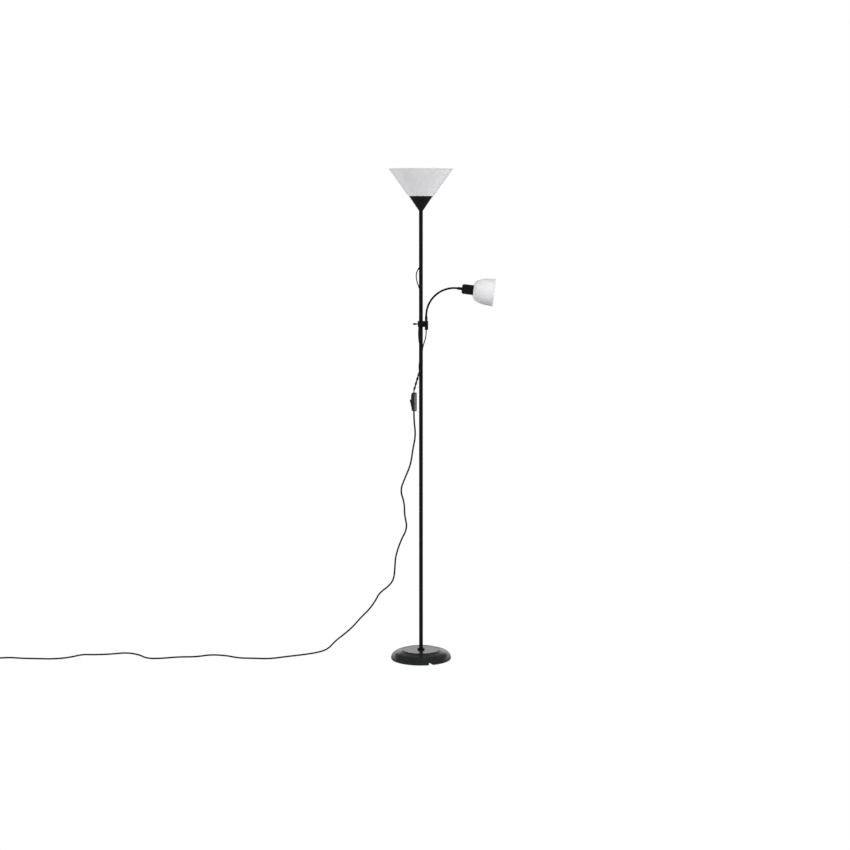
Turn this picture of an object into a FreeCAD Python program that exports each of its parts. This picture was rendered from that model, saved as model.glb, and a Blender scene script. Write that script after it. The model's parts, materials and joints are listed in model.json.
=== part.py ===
"""Torchiere floor lamp with a reading arm.

Units are millimetres. The origin is the centre of the base's underside, on the pole's axis.
+Z is up, +X points to the reading arm and +Y to the back, where the cords run.
"""
import FreeCAD, Part
import math
import os

V = FreeCAD.Vector
UP = V(0, 0, 1)

# ---- driving dimensions -------------------------------------------------------------------
RIM_HEIGHT = 1780.0          # height of the uplight shade's rim above the floor
BASE_RADIUS = 110.0
COVER_FOOT = 0.7             # the foam pad lifts the cover clear of the floor
NOTCH_WIDTH = 16.0           # of the channel under the base's rim
NOTCH_HEIGHT = 9.0
NOTCH_DEPTH = 42.0           # how far the channel reaches in from the rim
NOTCH_AZIMUTH = -70.5
BASE_TOP = 34.8              # height of the base's flat top
COVER_WALL = 1.6
POLE_RADIUS = 7.0
POLE_WALL = 0.9
TUBE_COUNT = 5
RUNNING_GAP = 0.05           # radial clearance of parts that turn or slide on each other
BODY_GAP = 0.3               # clearance between free surfaces of moving parts

# ---- pole ---------------------------------------------------------------------------------
COLLAR_HEIGHT = 5.0
COLLAR_RADIUS = 13.5
POLE_FOOT = BASE_TOP + COLLAR_HEIGHT
POLE_TOP = 1630.0
TUBE_LENGTH = (POLE_TOP - POLE_FOOT) / TUBE_COUNT
TUBE_BORE = POLE_RADIUS - POLE_WALL
INSERT_LENGTH = 12.0
NIPPLE_RADIUS = 5.0          # M10 lamp thread
NIPPLE_BORE = 3.4
NIPPLE_HALF = 11.0           # how far a nipple reaches into each tube

# ---- uplight ------------------------------------------------------------------------------
CUP_RADIUS = 42.7
CUP_TOP = 1683.0
CUP_WALL = 2.2               # measured level, so 1.8 across the slope
SHADE_FOOT_RADIUS = 46.6
SHADE_RIM_RADIUS = 115.5
SHADE_WALL = 2.0
E27_SKIRT_RADIUS = 19.9
E27_FOOT = 1648.0
E27_TOP = 1696.0
UPLIGHT_BULB_CENTRE = 1722.0
BULB_RADIUS = 22.5

# ---- clamp, gooseneck and reading head -------------------------------------------------------
CLAMP_FOOT = 1216.4
CLAMP_TOP = 1238.0
CLAMP_RADIUS = 12.0
LINER_RADIUS = 8.6
SOCKET_X = 18.9
SOCKET_RADIUS = 5.2
SOCKET_STRETCH = 2.1         # the socket is oval, thicker where the set screw goes in
SOCKET_FOOT = 1206.0
SPIGOT_RADIUS = 3.85
SCREW_Z = 1227.2
NECK_RADIUS = 3.75
NECK_BORE = 2.2
NECK_BEND_RADIUS = 100.0
NECK_BEND_Z = 1256.0         # the neck bends from the top of its lower ferrule
HEAD_DROP = 7.0              # degrees that the reading head points below level
NECK_PIVOTS = 5
HEAD_START = 4.3             # where the upper ferrule starts, along the head's own axis
HOLDER_RADIUS = 17.8
READING_RIM_RADIUS = 50.5

# ---- in-line switch -----------------------------------------------------------------------
SWITCH_X = -25.4
SWITCH_FRONT = -36.0
SWITCH_BACK = -15.0
SWITCH_SEAM = -26.2
SWITCH_FOOT = 913.3
SWITCH_TOP = 980.0
SWITCH_HALF_WIDTH = 14.0
SWITCH_WALL = 1.8
ROCKER_PIVOT = (-32.5, 943.0)
ROCKER_Y = 4.6
ROCKER_WIDTH = 8.2

# ---- plug -----------------------------------------------------------------------------------
PLUG_REAR_X = -1624.0
PLUG_FACE_X = -1660.0
PLUG_Y = -2.0
PLUG_HEIGHT = 13.7
PLUG_HALF_WIDTH = 17.6
PIN_RADIUS = 2.0
PIN_LENGTH = 19.0
PIN_ROOT_RADIUS = 1.5        # inside the plug body
PIN_ROOT_LENGTH = 6.0
PIN_SPACING = 18.6

# ---- cords ------------------------------------------------------------------------------------
LEAD_DIAMETER = 4.0          # the two lamps' cords
MAINS_DIAMETER = 6.0
TWIST_START = V(-3.5, 13.0, 1060.0)
TWIST_END = V(-25.2, 0.6, 988.5)
TWIST_OFFSET = 2.9           # from the pair's middle line to each cord
TWIST_QUARTERS = 9
GROMMET_FACE = V(-8.5, 3.1, 1423.5)
GROMMET_WAY = V(-0.604, 0.220, -0.766)

UPLIGHT_CORD = [
    (-8.5, 3.1, 1423.5), (-15.1, 5.5, 1415.1), (-17.4, 8.0, 1396.0), (-13.8, 11.5, 1376.0),
    (-5.5, 14.5, 1355.0), (0.5, 15.5, 1325.0), (2.5, 17.5, 1285.0), (0.0, 18.8, 1250.0),
    (-5.5, 16.8, 1226.0), (-8.5, 15.0, 1204.0), (-8.2, 14.6, 1173.0), (-3.5, 13.6, 1147.0),
    (-2.2, 12.8, 1112.0), (-6.0, 13.2, 1086.0), (-7.2, 13.4, 1070.0),
]
UPLIGHT_CORD_END = (-25.4, 4.0, 980.0)
READING_CORD_UPPER = [
    (18.9, 0.0, 1206.0), (18.8, 0.6, 1193.0), (16.8, 3.2, 1177.0), (12.2, 8.0, 1161.0),
    (6.6, 12.0, 1145.0), (5.0, 12.6, 1128.0),
]
READING_CORD_LOWER = [
    (5.0, 12.6, 1128.0), (3.0, 13.35, 1106.75), (3.6, 13.6, 1086.0), (1.4, 13.6, 1071.0),
]
READING_CORD_END = (-25.4, -4.0, 980.0)
MAINS_CORD = [
    (-25.4, 0.0, 913.3), (-25.4, 0.0, 880.0), (-19.0, 0.0, 825.0), (-29.0, 1.0, 776.0),
    (-37.0, 4.0, 718.0), (-57.0, 10.0, 670.0), (-76.0, 14.0, 622.0), (-60.0, 11.0, 576.0),
    (-60.0, 10.0, 530.0), (-49.0, 8.0, 484.0), (-74.0, 14.0, 436.0), (-93.0, 19.0, 378.0),
    (-95.5, 21.0, 334.0), (-99.0, 23.5, 292.0), (-118.0, 29.0, 264.0), (-152.0, 39.0, 238.0),
    (-168.0, 43.0, 206.0), (-192.0, 49.0, 171.0), (-224.0, 57.0, 139.0), (-250.0, 64.0, 106.0),
    (-282.0, 73.0, 76.0), (-318.0, 84.0, 46.0), (-345.0, 91.0, 14.0), (-380.0, 84.0, 3.0),
    (-430.0, 50.0, 3.0), (-492.0, 20.0, 3.0), (-556.0, -16.0, 3.0), (-612.0, -7.0, 3.0),
    (-668.0, -4.0, 3.0), (-716.0, 34.0, 3.0), (-778.0, 48.0, 3.0), (-826.0, 14.0, 3.0),
    (-892.0, 14.0, 3.0), (-952.0, -10.0, 3.0), (-1004.0, -10.0, 3.0), (-1040.0, 48.0, 3.0),
    (-1092.0, 80.0, 3.0), (-1150.0, 54.0, 3.0), (-1212.0, 46.0, 3.0), (-1250.0, 52.0, 3.0),
    (-1292.0, 2.0, 3.0), (-1346.0, -18.0, 3.0), (-1406.0, -12.0, 3.0), (-1462.0, -8.0, 3.0),
    (-1508.0, 6.0, 3.0), (-1550.0, -6.0, 3.0), (-1579.0, -2.0, 6.85), (-1602.0, -2.0, 6.85),
]


# ---- making shapes ------------------------------------------------------------------------------
def outline(corners):
    """Closed outline in the XZ plane. A corner is (x, z), or (mid x, mid z, x, z) for an arc."""
    edges = []
    here = V(corners[0][0], 0, corners[0][1])
    for corner in corners[1:] + [corners[0]]:
        there = V(corner[-2], 0, corner[-1])
        if len(corner) == 4:
            middle = V(corner[0], 0, corner[1])
            edges.append(Part.Arc(here, middle, there).toShape())
        else:
            edges.append(Part.LineSegment(here, there).toShape())
        here = there
    return Part.Face(Part.Wire(edges))


def turned(corners):
    """Solid turned about Z from an outline of (radius, height) corners."""
    return outline(corners).revolve(V(0, 0, 0), UP, 360)


def ring(outer, inner, low, high):
    """Round tube about Z."""
    body = Part.makeCylinder(outer, high - low, V(0, 0, low))
    return body.cut(Part.makeCylinder(inner, high - low + 2, V(0, 0, low - 1)))


def box(low, high):
    """Box between two corners."""
    size = [b - a for a, b in zip(low, high)]
    return Part.makeBox(size[0], size[1], size[2], V(*low))


def rod(radius, start, end):
    """Round rod from one point to another."""
    start = V(*start)
    way = V(*end) - start
    return Part.makeCylinder(radius, way.Length, start, way)


def hex_nut(across, bore, low, high):
    """Six-sided nut about Z."""
    corner = across / 2 / math.cos(math.pi / 6)
    points = [V(corner * math.cos(i * math.pi / 3), corner * math.sin(i * math.pi / 3), low)
              for i in range(7)]
    body = Part.Face(Part.makePolygon(points)).extrude(UP * (high - low))
    return body.cut(Part.makeCylinder(bore, high - low + 2, V(0, 0, low - 1)))


def fused(shapes):
    """One solid from overlapping ones."""
    return shapes[0].multiFuse(shapes[1:]).removeSplitter()


# ---- base -------------------------------------------------------------------------------------
def notch():
    """Low channel under the rim, which goes through everything that stands in its way."""
    channel = box((BASE_RADIUS - NOTCH_DEPTH, -NOTCH_WIDTH / 2, -5),
                  (BASE_RADIUS + 5, NOTCH_WIDTH / 2, NOTCH_HEIGHT))
    channel = channel.makeFillet(2.5, [edge for edge in channel.Edges if edge.BoundBox.XLength > 1
                                       and edge.BoundBox.ZMin > NOTCH_HEIGHT - 1])
    channel.rotate(V(0, 0, 0), UP, NOTCH_AZIMUTH)
    return channel


def base_pad():
    """Foam disc that the lamp stands on."""
    return Part.makeCylinder(100.0, 1.5).cut(notch())


def base_plate():
    """Steel plate that closes the underside and leaves room for the nut."""
    return ring(104.0, 14.5, 1.5, 2.5).cut(notch())


def base_weight():
    """Cast disc with a boss that carries the cover, and a counterbore for the nut."""
    boss_top = BASE_TOP - 1.6
    body = turned([(5.6, 2.6), (96.0, 2.6), (97.0, 3.6), (97.0, 10.5), (95.0, 12.5), (24.0, 12.5),
                   (20.5, 14.0, 19.0, 17.0), (19.0, boss_top), (5.6, boss_top)])
    return body.cut(Part.makeCylinder(14.0, 10.0, V(0, 0, 2.0))).cut(notch())


def base_cover():
    """Domed cover: a flat top with a low lip, a gentle slope outside it, then the round flank."""
    inside_top = BASE_TOP - COVER_WALL
    outer = turned([(0, COVER_FOOT), (108.3, COVER_FOOT), (109.7, 3.4, BASE_RADIUS, 6.8),
                    (101.5, 22.0, 88.0, 28.6), (68.6, 32.6), (68.2, 34.2), (67.7, 35.1, 66.0, 35.2),
                    (60.0, BASE_TOP), (0, BASE_TOP)])
    inner = turned([(0, 0), (106.7, 0), (106.7, COVER_FOOT), (108.1, 4.2, BASE_RADIUS - COVER_WALL, 6.8),
                    (100.3, 20.9, 87.6, 27.0), (67.2, 31.2), (66.0, inside_top), (0, inside_top)])
    cover = outer.cut(inner)
    return cover.cut(Part.makeCylinder(NIPPLE_RADIUS + 0.2, 60)).cut(notch())


def base_hardware():
    """Stud, flanged nut and the trim collar at the pole's foot."""
    stud = ring(NIPPLE_RADIUS, NIPPLE_BORE, 2.7, POLE_FOOT + NIPPLE_HALF)
    nut = fused([hex_nut(17.0, NIPPLE_RADIUS, 3.0, 10.6), ring(12.5, NIPPLE_RADIUS, 10.5, 12.0)])
    collar = turned([(NIPPLE_RADIUS + 0.2, BASE_TOP), (COLLAR_RADIUS, BASE_TOP),
                     (COLLAR_RADIUS, POLE_FOOT - 2.5), (12.8, 39.2, 11.0, POLE_FOOT),
                     (NIPPLE_RADIUS + 0.2, POLE_FOOT)])
    return {"base_stud": stud, "base_nut": nut, "base_collar": collar}


# ---- pole -------------------------------------------------------------------------------------
def pole():
    """Five tubes, a threaded insert in each end of each tube, and a nipple at each joint."""
    nodes = {}
    inserts = []
    nipples = []
    for i in range(TUBE_COUNT):
        low = POLE_FOOT + i * TUBE_LENGTH
        high = low + TUBE_LENGTH
        nodes[f"pole_tube_{i + 1}"] = ring(POLE_RADIUS, TUBE_BORE, low, high)
        for start in (low, high - INSERT_LENGTH):
            inserts.append(ring(TUBE_BORE, NIPPLE_RADIUS, start, start + INSERT_LENGTH))
        if i > 0:
            nipples.append(ring(NIPPLE_RADIUS, NIPPLE_BORE, low - NIPPLE_HALF, low + NIPPLE_HALF))
    nodes["tube_inserts"] = Part.makeCompound(inserts)
    nodes["pole_nipples"] = Part.makeCompound(nipples)
    return nodes


def grommet_hole(radius, back, front):
    """Slanted cylinder along the cord outlet, measured from the grommet's outer face."""
    way = V(GROMMET_WAY).normalize()
    return Part.makeCylinder(radius, back + front, GROMMET_FACE - way * back, way)


def cord_outlet(nodes):
    """Slanted outlet in the top tube, with its grommet and the lead inside the pole."""
    tube = f"pole_tube_{TUBE_COUNT}"
    nodes[tube] = nodes[tube].cut(grommet_hole(3.0, 9.0, 2.0))
    nodes["cord_grommet"] = grommet_hole(3.0, 7.0, 0.0).cut(grommet_hole(2.0, 8.0, 1.0))
    nodes["inner_lead"] = rod(1.9, (0, 0, GROMMET_FACE.z + 8), (0, 0, E27_FOOT + 6))


# ---- uplight ----------------------------------------------------------------------------------
def uplight_cup():
    """Black cone that carries the uplight shade."""
    slope = (CUP_RADIUS - POLE_RADIUS) / (CUP_TOP - POLE_TOP)
    hub_top = POLE_TOP + 14
    bore = NIPPLE_RADIUS + 0.05
    inside = POLE_RADIUS + slope * (hub_top - POLE_TOP) - CUP_WALL
    return turned([(bore, POLE_TOP), (POLE_RADIUS, POLE_TOP), (CUP_RADIUS - 1.0, CUP_TOP - 1.5),
                   (CUP_RADIUS, CUP_TOP - 1.0), (CUP_RADIUS, CUP_TOP), (CUP_RADIUS - CUP_WALL, CUP_TOP),
                   (CUP_RADIUS - CUP_WALL - 1.0, CUP_TOP - 1.5), (inside, hub_top), (bore, hub_top)])


def uplight_shade():
    """Open cone with a flat foot and a small bead round its rim."""
    foot = CUP_TOP
    bead = RIM_HEIGHT - 2.5
    lift = RIM_HEIGHT - foot
    grow = (SHADE_RIM_RADIUS - SHADE_FOOT_RADIUS) / lift
    at_bead = SHADE_FOOT_RADIUS + grow * (bead - foot)
    hole = E27_SKIRT_RADIUS + 0.3
    return turned([(hole, foot), (SHADE_FOOT_RADIUS - 1, foot), (SHADE_FOOT_RADIUS, foot + 0.8),
                   (at_bead, bead), (SHADE_RIM_RADIUS, bead), (SHADE_RIM_RADIUS, RIM_HEIGHT),
                   (SHADE_RIM_RADIUS - 2.6, RIM_HEIGHT), (at_bead - 2.6, bead - 1.0),
                   (SHADE_FOOT_RADIUS - 1.6, foot + SHADE_WALL), (hole, foot + SHADE_WALL)])


def lampholder(foot, top, skirt, cavity, floor, bore):
    """Lampholder about Z: narrow foot, threaded skirt and the hollow for the lamp cap."""
    return turned([(bore, foot), (skirt - 6, foot), (skirt, foot + 8), (skirt, top), (cavity, top),
                   (cavity, floor), (bore, floor)])


def bulb_glass(cap_top, neck, centre, radius):
    """Round bulb glass about Z, closed at the cap."""
    shoulder = math.radians(-52)
    join = (radius * math.cos(shoulder), centre + radius * math.sin(shoulder))
    flank = ((neck + join[0]) / 2 - 0.8, (cap_top + join[1]) / 2 + 0.6)
    return turned([(0, cap_top), (neck, cap_top), flank + join, (radius, centre, 0, centre + radius)])


def lamp_parts(prefix, foot, top, skirt, cap, cavity_floor, cap_top, centre, bore):
    """Lampholder, its screw shell and centre contact, and the bulb of one light, about Z."""
    shell = cap + 0.6
    nodes = {}
    nodes[prefix + "_lampholder"] = lampholder(foot, top, skirt, shell, cavity_floor, bore)
    nodes[prefix + "_contacts"] = Part.makeCompound([
        ring(shell, cap + 0.1, cavity_floor + 5, top - 3),
        ring(cap * 0.55, 1.6, cavity_floor, cavity_floor + 2.5)])
    nodes[prefix + "_bulb_cap"] = turned([
        (0, cavity_floor + 2.6), (cap * 0.35, cavity_floor + 2.6), (cap * 0.6, cavity_floor + 4.5),
        (cap, cavity_floor + 6), (cap, cap_top), (0, cap_top)])
    nodes[prefix + "_bulb_glass"] = bulb_glass(cap_top, cap, centre, BULB_RADIUS)
    return nodes


def uplight():
    """Everything above the pole."""
    nodes = lamp_parts("uplight", E27_FOOT, E27_TOP, E27_SKIRT_RADIUS, 13.2, 1660.0, 1692.0,
                       UPLIGHT_BULB_CENTRE, NIPPLE_RADIUS + 0.05)
    nodes["uplight_cup"] = uplight_cup()
    nodes["uplight_shade"] = uplight_shade()
    foot = CUP_TOP + SHADE_WALL
    nodes["uplight_shade_ring"] = ring(27.0, E27_SKIRT_RADIUS + 0.05, foot, foot + 6)
    nodes["uplight_nipple"] = ring(NIPPLE_RADIUS, NIPPLE_BORE, POLE_TOP - NIPPLE_HALF, 1658.0)
    nodes["uplight_nut"] = hex_nut(14.0, NIPPLE_RADIUS + 0.02, 1644.0, E27_FOOT)
    return nodes


# ---- clamp --------------------------------------------------------------------------------------
def clamp_body():
    """Ring round the pole, bridge, and the upright oval socket that holds the neck."""
    bridge_low = CLAMP_FOOT + 0.4
    bridge_high = CLAMP_TOP - 0.4
    height = CLAMP_TOP - SOCKET_FOOT
    body = fused([
        Part.makeCylinder(CLAMP_RADIUS, CLAMP_TOP - CLAMP_FOOT, V(0, 0, CLAMP_FOOT)),
        box((8, -4.5, bridge_low), (SOCKET_X, 4.5, bridge_high)),
        Part.makeCylinder(SOCKET_RADIUS, height, V(SOCKET_X, 0, SOCKET_FOOT)),
        box((SOCKET_X, -SOCKET_RADIUS, SOCKET_FOOT), (SOCKET_X + SOCKET_STRETCH, SOCKET_RADIUS, CLAMP_TOP)),
        Part.makeCylinder(SOCKET_RADIUS, height, V(SOCKET_X + SOCKET_STRETCH, 0, SOCKET_FOOT)),
    ])
    holes = [
        Part.makeCylinder(LINER_RADIUS + RUNNING_GAP, 60, V(0, 0, CLAMP_FOOT - 20)),
        Part.makeCylinder(SPIGOT_RADIUS, 60, V(SOCKET_X, 0, SOCKET_FOOT + 7)),
        Part.makeCylinder(2.1, 20, V(SOCKET_X, 0, SOCKET_FOOT - 5)),
        rod(2.4 + RUNNING_GAP, (-20, 0, SCREW_Z), (0, 0, SCREW_Z)),
        rod(1.5, (SOCKET_X, 0, SCREW_Z), (SOCKET_X + 10, 0, SCREW_Z)),
    ]
    return body.cut(Part.makeCompound(holes))


def clamp_liner():
    """Split sleeve between the clamp and the pole."""
    sleeve = ring(LINER_RADIUS, POLE_RADIUS + RUNNING_GAP, CLAMP_FOOT, CLAMP_TOP)
    return sleeve.cut(box((-1, 0, CLAMP_FOOT - 1), (1, 12, CLAMP_TOP + 1)))


def thumb_screw():
    """Clamp screw with a flat paddle for two fingers."""
    tip = -(LINER_RADIUS + 0.15)
    shank = rod(2.4, (tip, 0, SCREW_Z), (-21.0, 0, SCREW_Z))
    disc = turned([(0, -3.3), (5.2, -3.3), (7.0, -1.8), (7.0, 1.8), (5.2, 3.3), (0, 3.3)])
    disc.translate(V(-22.2, 0, SCREW_Z))
    paddle = disc.common(box((-30, -8, SCREW_Z - 4), (-20.5, 8, SCREW_Z + 4)))
    return fused([shank, paddle, rod(3.3, (-20.5, 0, SCREW_Z), (-17.5, 0, SCREW_Z))])


def neck_set_screw():
    """Grub screw that holds the neck's spigot in the socket."""
    head = SOCKET_X + SOCKET_STRETCH + SOCKET_RADIUS + 0.3
    return rod(1.5, (SOCKET_X + SPIGOT_RADIUS, 0, SCREW_Z), (head, 0, SCREW_Z))


def lower_ferrule():
    """Spigot in the socket and the ferrule above it, hollow for the lead."""
    body = turned([(NECK_BORE, SOCKET_FOOT + 7), (SPIGOT_RADIUS, SOCKET_FOOT + 7),
                   (SPIGOT_RADIUS, CLAMP_TOP), (4.85, CLAMP_TOP), (4.85, NECK_BEND_Z - 3),
                   (4.3, NECK_BEND_Z), (NECK_BORE, NECK_BEND_Z)])
    body.translate(V(SOCKET_X, 0, 0))
    return body


# ---- gooseneck ------------------------------------------------------------------------------------
BEND_CENTRE = V(SOCKET_X + NECK_BEND_RADIUS, 0, NECK_BEND_Z)
BEND_SWEEP = 90.0 + HEAD_DROP


def neck_point(turn):
    """Point of the neck's centre line, turn degrees after the bend starts."""
    angle = math.radians(180.0 - turn)
    return BEND_CENTRE + V(math.cos(angle), 0, math.sin(angle)) * NECK_BEND_RADIUS


def pivot_turn(number):
    """Turn at which neck pivot 1 to 5 sits."""
    return BEND_SWEEP * (number - 0.5) / NECK_PIVOTS


def bent_rod(radius, first, last):
    """Round rod along the neck's bend between two turns."""
    start = neck_point(first)
    circle = Part.Wire(Part.Circle(start, neck_way(first), radius).toShape())
    return Part.Face(circle).revolve(BEND_CENTRE, V(0, 1, 0), last - first)


def neck_way(turn):
    """Direction of the neck's centre line at a turn."""
    angle = math.radians(turn)
    return V(math.sin(angle), 0, math.cos(angle))


def gooseneck():
    """The neck cut at its five pivots. Each piece ends in a ball that sits in the next one's dish."""
    dish = math.hypot(NECK_RADIUS, 1.0) + BODY_GAP
    turns = [0.0] + [pivot_turn(i + 1) for i in range(NECK_PIVOTS)] + [BEND_SWEEP]
    names = ["neck_root", "neck_link_1", "neck_link_2", "neck_link_3", "neck_link_4", "neck_tip"]
    nodes = {}
    for i, name in enumerate(names):
        body = bent_rod(NECK_RADIUS, turns[i], turns[i + 1])
        if i > 0:
            body = body.cut(Part.makeSphere(dish, neck_point(turns[i])))
        if i < NECK_PIVOTS:
            body = body.fuse(Part.makeSphere(NECK_RADIUS, neck_point(turns[i + 1])))
        nodes[name] = body.cut(bent_rod(NECK_BORE, turns[i] - 3, turns[i + 1] + 4))
    return nodes


# ---- reading head, turned about Z and then laid along the neck's end ------------------------------
def holder_cap():
    """Rear part of the lampholder housing, with a rounded shoulder."""
    return turned([(NECK_BORE, 20.0), (8.0, 20.0), (15.0, 21.5, HOLDER_RADIUS - 0.4, 30.0),
                   (HOLDER_RADIUS - 0.4, 33.0), (HOLDER_RADIUS - 2.4, 33.0),
                   (HOLDER_RADIUS - 2.4, 30.0), (8.0, 22.5), (NECK_BORE, 22.5)])


def holder_cup():
    """Front part of the housing. The shade rests against its flanged face."""
    inner = HOLDER_RADIUS - 2.0
    return turned([(inner, 33.0), (HOLDER_RADIUS, 33.0), (HOLDER_RADIUS, 59.0),
                   (HOLDER_RADIUS + 0.9, 59.6), (HOLDER_RADIUS + 0.9, 61.0), (14.3, 61.0),
                   (14.3, 59.4), (inner, 59.4)])


def reading_shade():
    """Bell shade with a flat foot, an even wall and a lip round its rim."""
    return turned([(14.3, 61.0), (20.5, 61.0), (29.6, 64.6, 37.5, 74.5), (43.6, 89.0, 46.5, 103.0),
                   (48.3, 121.0), (READING_RIM_RADIUS, 133.0), (READING_RIM_RADIUS, 135.4),
                   (READING_RIM_RADIUS - 2.2, 135.4), (46.5, 121.5), (44.7, 103.4),
                   (41.9, 90.0, 36.0, 75.8), (28.6, 66.4, 20.0, 62.8), (14.3, 62.8)])


def reading_head():
    """All pieces of the reading head in the lamp's frame."""
    nodes = lamp_parts("reading", 24.0, 72.0, 13.8, 6.9, 44.0, 71.5, 102.0, 3.0)
    nodes["upper_ferrule"] = turned([(NECK_BORE, HEAD_START), (4.5, HEAD_START), (5.25, HEAD_START + 2),
                                     (5.25, 20.0), (NECK_BORE, 20.0)])
    nodes["holder_cap"] = holder_cap()
    nodes["holder_cup"] = holder_cup()
    nodes["reading_shade"] = reading_shade()
    nodes["reading_shade_ring"] = ring(19.0, 13.85, 62.8, 67.5)
    way = neck_way(BEND_SWEEP)
    place = FreeCAD.Placement(neck_point(BEND_SWEEP) - way * HEAD_START, FreeCAD.Rotation(UP, way))
    for shape in nodes.values():
        shape.Placement = place.multiply(shape.Placement)
    return nodes


# ---- in-line switch ---------------------------------------------------------------------------
def switch_block(inset, rounding):
    """Rounded block of the switch, smaller all round by inset. Its front leans in at both ends."""
    front = SWITCH_FRONT + inset
    back = SWITCH_BACK - inset
    low = SWITCH_FOOT + inset
    high = SWITCH_TOP - inset
    half = SWITCH_HALF_WIDTH - inset
    profile = outline([(back, low), (back, high), (front + 4.0, high), (front, high - 12.0),
                       (front, low + 24.0), (front + 3.6, low)])
    body = profile.extrude(V(0, 2 * half, 0))
    body.translate(V(0, -half, 0))
    return body.makeFillet(rounding, body.Edges)


def switch_housing():
    """Front and back halves of the housing, with a window for the rockers and holes for the cords."""
    outer = switch_block(0.0, 3.2)
    shell = outer.cut(switch_block(SWITCH_WALL, 1.8))
    front = shell.common(box((-60, -30, 900), (SWITCH_SEAM, 30, 1000)))
    back = shell.common(box((SWITCH_SEAM, -30, 900), (0, 30, 1000)))
    front_adds = [front]
    back_adds = [back]
    for z in (922.0, 965.0):
        front_adds.append(rod(3.0, (SWITCH_FRONT + 1, 0, z), (SWITCH_SEAM, 0, z)))
        back_adds.append(rod(3.0, (SWITCH_SEAM, 0, z), (SWITCH_BACK - 1, 0, z)))
    for side in (-1, 1):
        inside = side * 9.3
        outside = side * 12.6
        front_adds.append(box((SWITCH_FRONT + 1, min(inside, outside), 938.5),
                              (-29.5, max(inside, outside), 947.5)))
    front = fused(front_adds).common(outer)
    back = fused(back_adds)
    front = front.cut(box((-45, -9.1, 929.0), (SWITCH_FRONT + SWITCH_WALL + 1.6, 9.1, 957.6)))
    pivot_x, pivot_z = ROCKER_PIVOT
    front = front.cut(rod(1.0, (pivot_x, -11, pivot_z), (pivot_x, 11, pivot_z)))
    for z in (922.0, 965.0):
        front = front.cut(rod(1.2, (SWITCH_FRONT + 4.2, 0, z), (0, 0, z)))
        back = back.cut(rod(1.35, (-30, 0, z), (0, 0, z)))
        back = back.cut(rod(2.7, (SWITCH_BACK - 1.6, 0, z), (0, 0, z)))
    return {"switch_front": front, "switch_back": back}


def rocker(side):
    """Rocker with its upper end standing out."""
    profile = outline([(-30.5, 932.0), (-35.4, 931.6), (-36.4, 932.8), (-37.6, 941.0, -40.2, 951.2),
                       (-40.1, 953.6, -38.6, 954.6), (-33.0, 955.0), (-30.5, 952.0)])
    y = side * ROCKER_Y - ROCKER_WIDTH / 2
    body = profile.extrude(V(0, ROCKER_WIDTH, 0))
    body.translate(V(0, y, 0))
    pivot_x, pivot_z = ROCKER_PIVOT
    return body.cut(rod(1.0 + RUNNING_GAP, (pivot_x, -20, pivot_z), (pivot_x, 20, pivot_z)))


def switch_insides():
    """Axle, contact strips, cord clamp bars and housing screws."""
    pivot_x, pivot_z = ROCKER_PIVOT
    axle = rod(1.0, (pivot_x, -10.9, pivot_z), (pivot_x, 10.9, pivot_z))
    strips = [box((-20.5, y - 1.8, 930.0), (-19.7, y + 1.8, 958.0)) for y in (-8, 0, 8)]
    strips += [box((-25.0, y - 1.8, 950.0), (-20.5, y + 1.8, 950.8)) for y in (-8, 8)]
    contacts = [strips[0].fuse(strips[3]), strips[1], strips[2].fuse(strips[4])]
    bars = [box((-25.0, -10.0, z), (-21.0, 10.0, z + 3.0)) for z in (916.0, 972.5)]
    screws = [rod(1.2, (-31, 0, z), (-16.6, 0, z)).fuse(rod(2.6, (-16.6, 0, z), (-15.1, 0, z)))
              for z in (922.0, 965.0)]
    return {"rocker_axle": axle, "switch_contacts": Part.makeCompound(contacts),
            "cord_clamp_bars": Part.makeCompound(bars), "switch_screws": Part.makeCompound(screws)}


def switch():
    """The whole in-line switch. Its cords enter through holes the size of each cord."""
    nodes = switch_housing()
    for y, z, diameter in ((4, SWITCH_TOP, LEAD_DIAMETER), (-4, SWITCH_TOP, LEAD_DIAMETER),
                           (0, SWITCH_FOOT, MAINS_DIAMETER)):
        hole = rod(diameter / 2 - 0.4, (SWITCH_X, y, z - 3), (SWITCH_X, y, z + 3))
        for half in ("switch_front", "switch_back"):
            nodes[half] = nodes[half].cut(hole)
    nodes["uplight_rocker"] = rocker(1)
    nodes["reading_rocker"] = rocker(-1)
    nodes.update(switch_insides())
    return nodes


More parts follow.
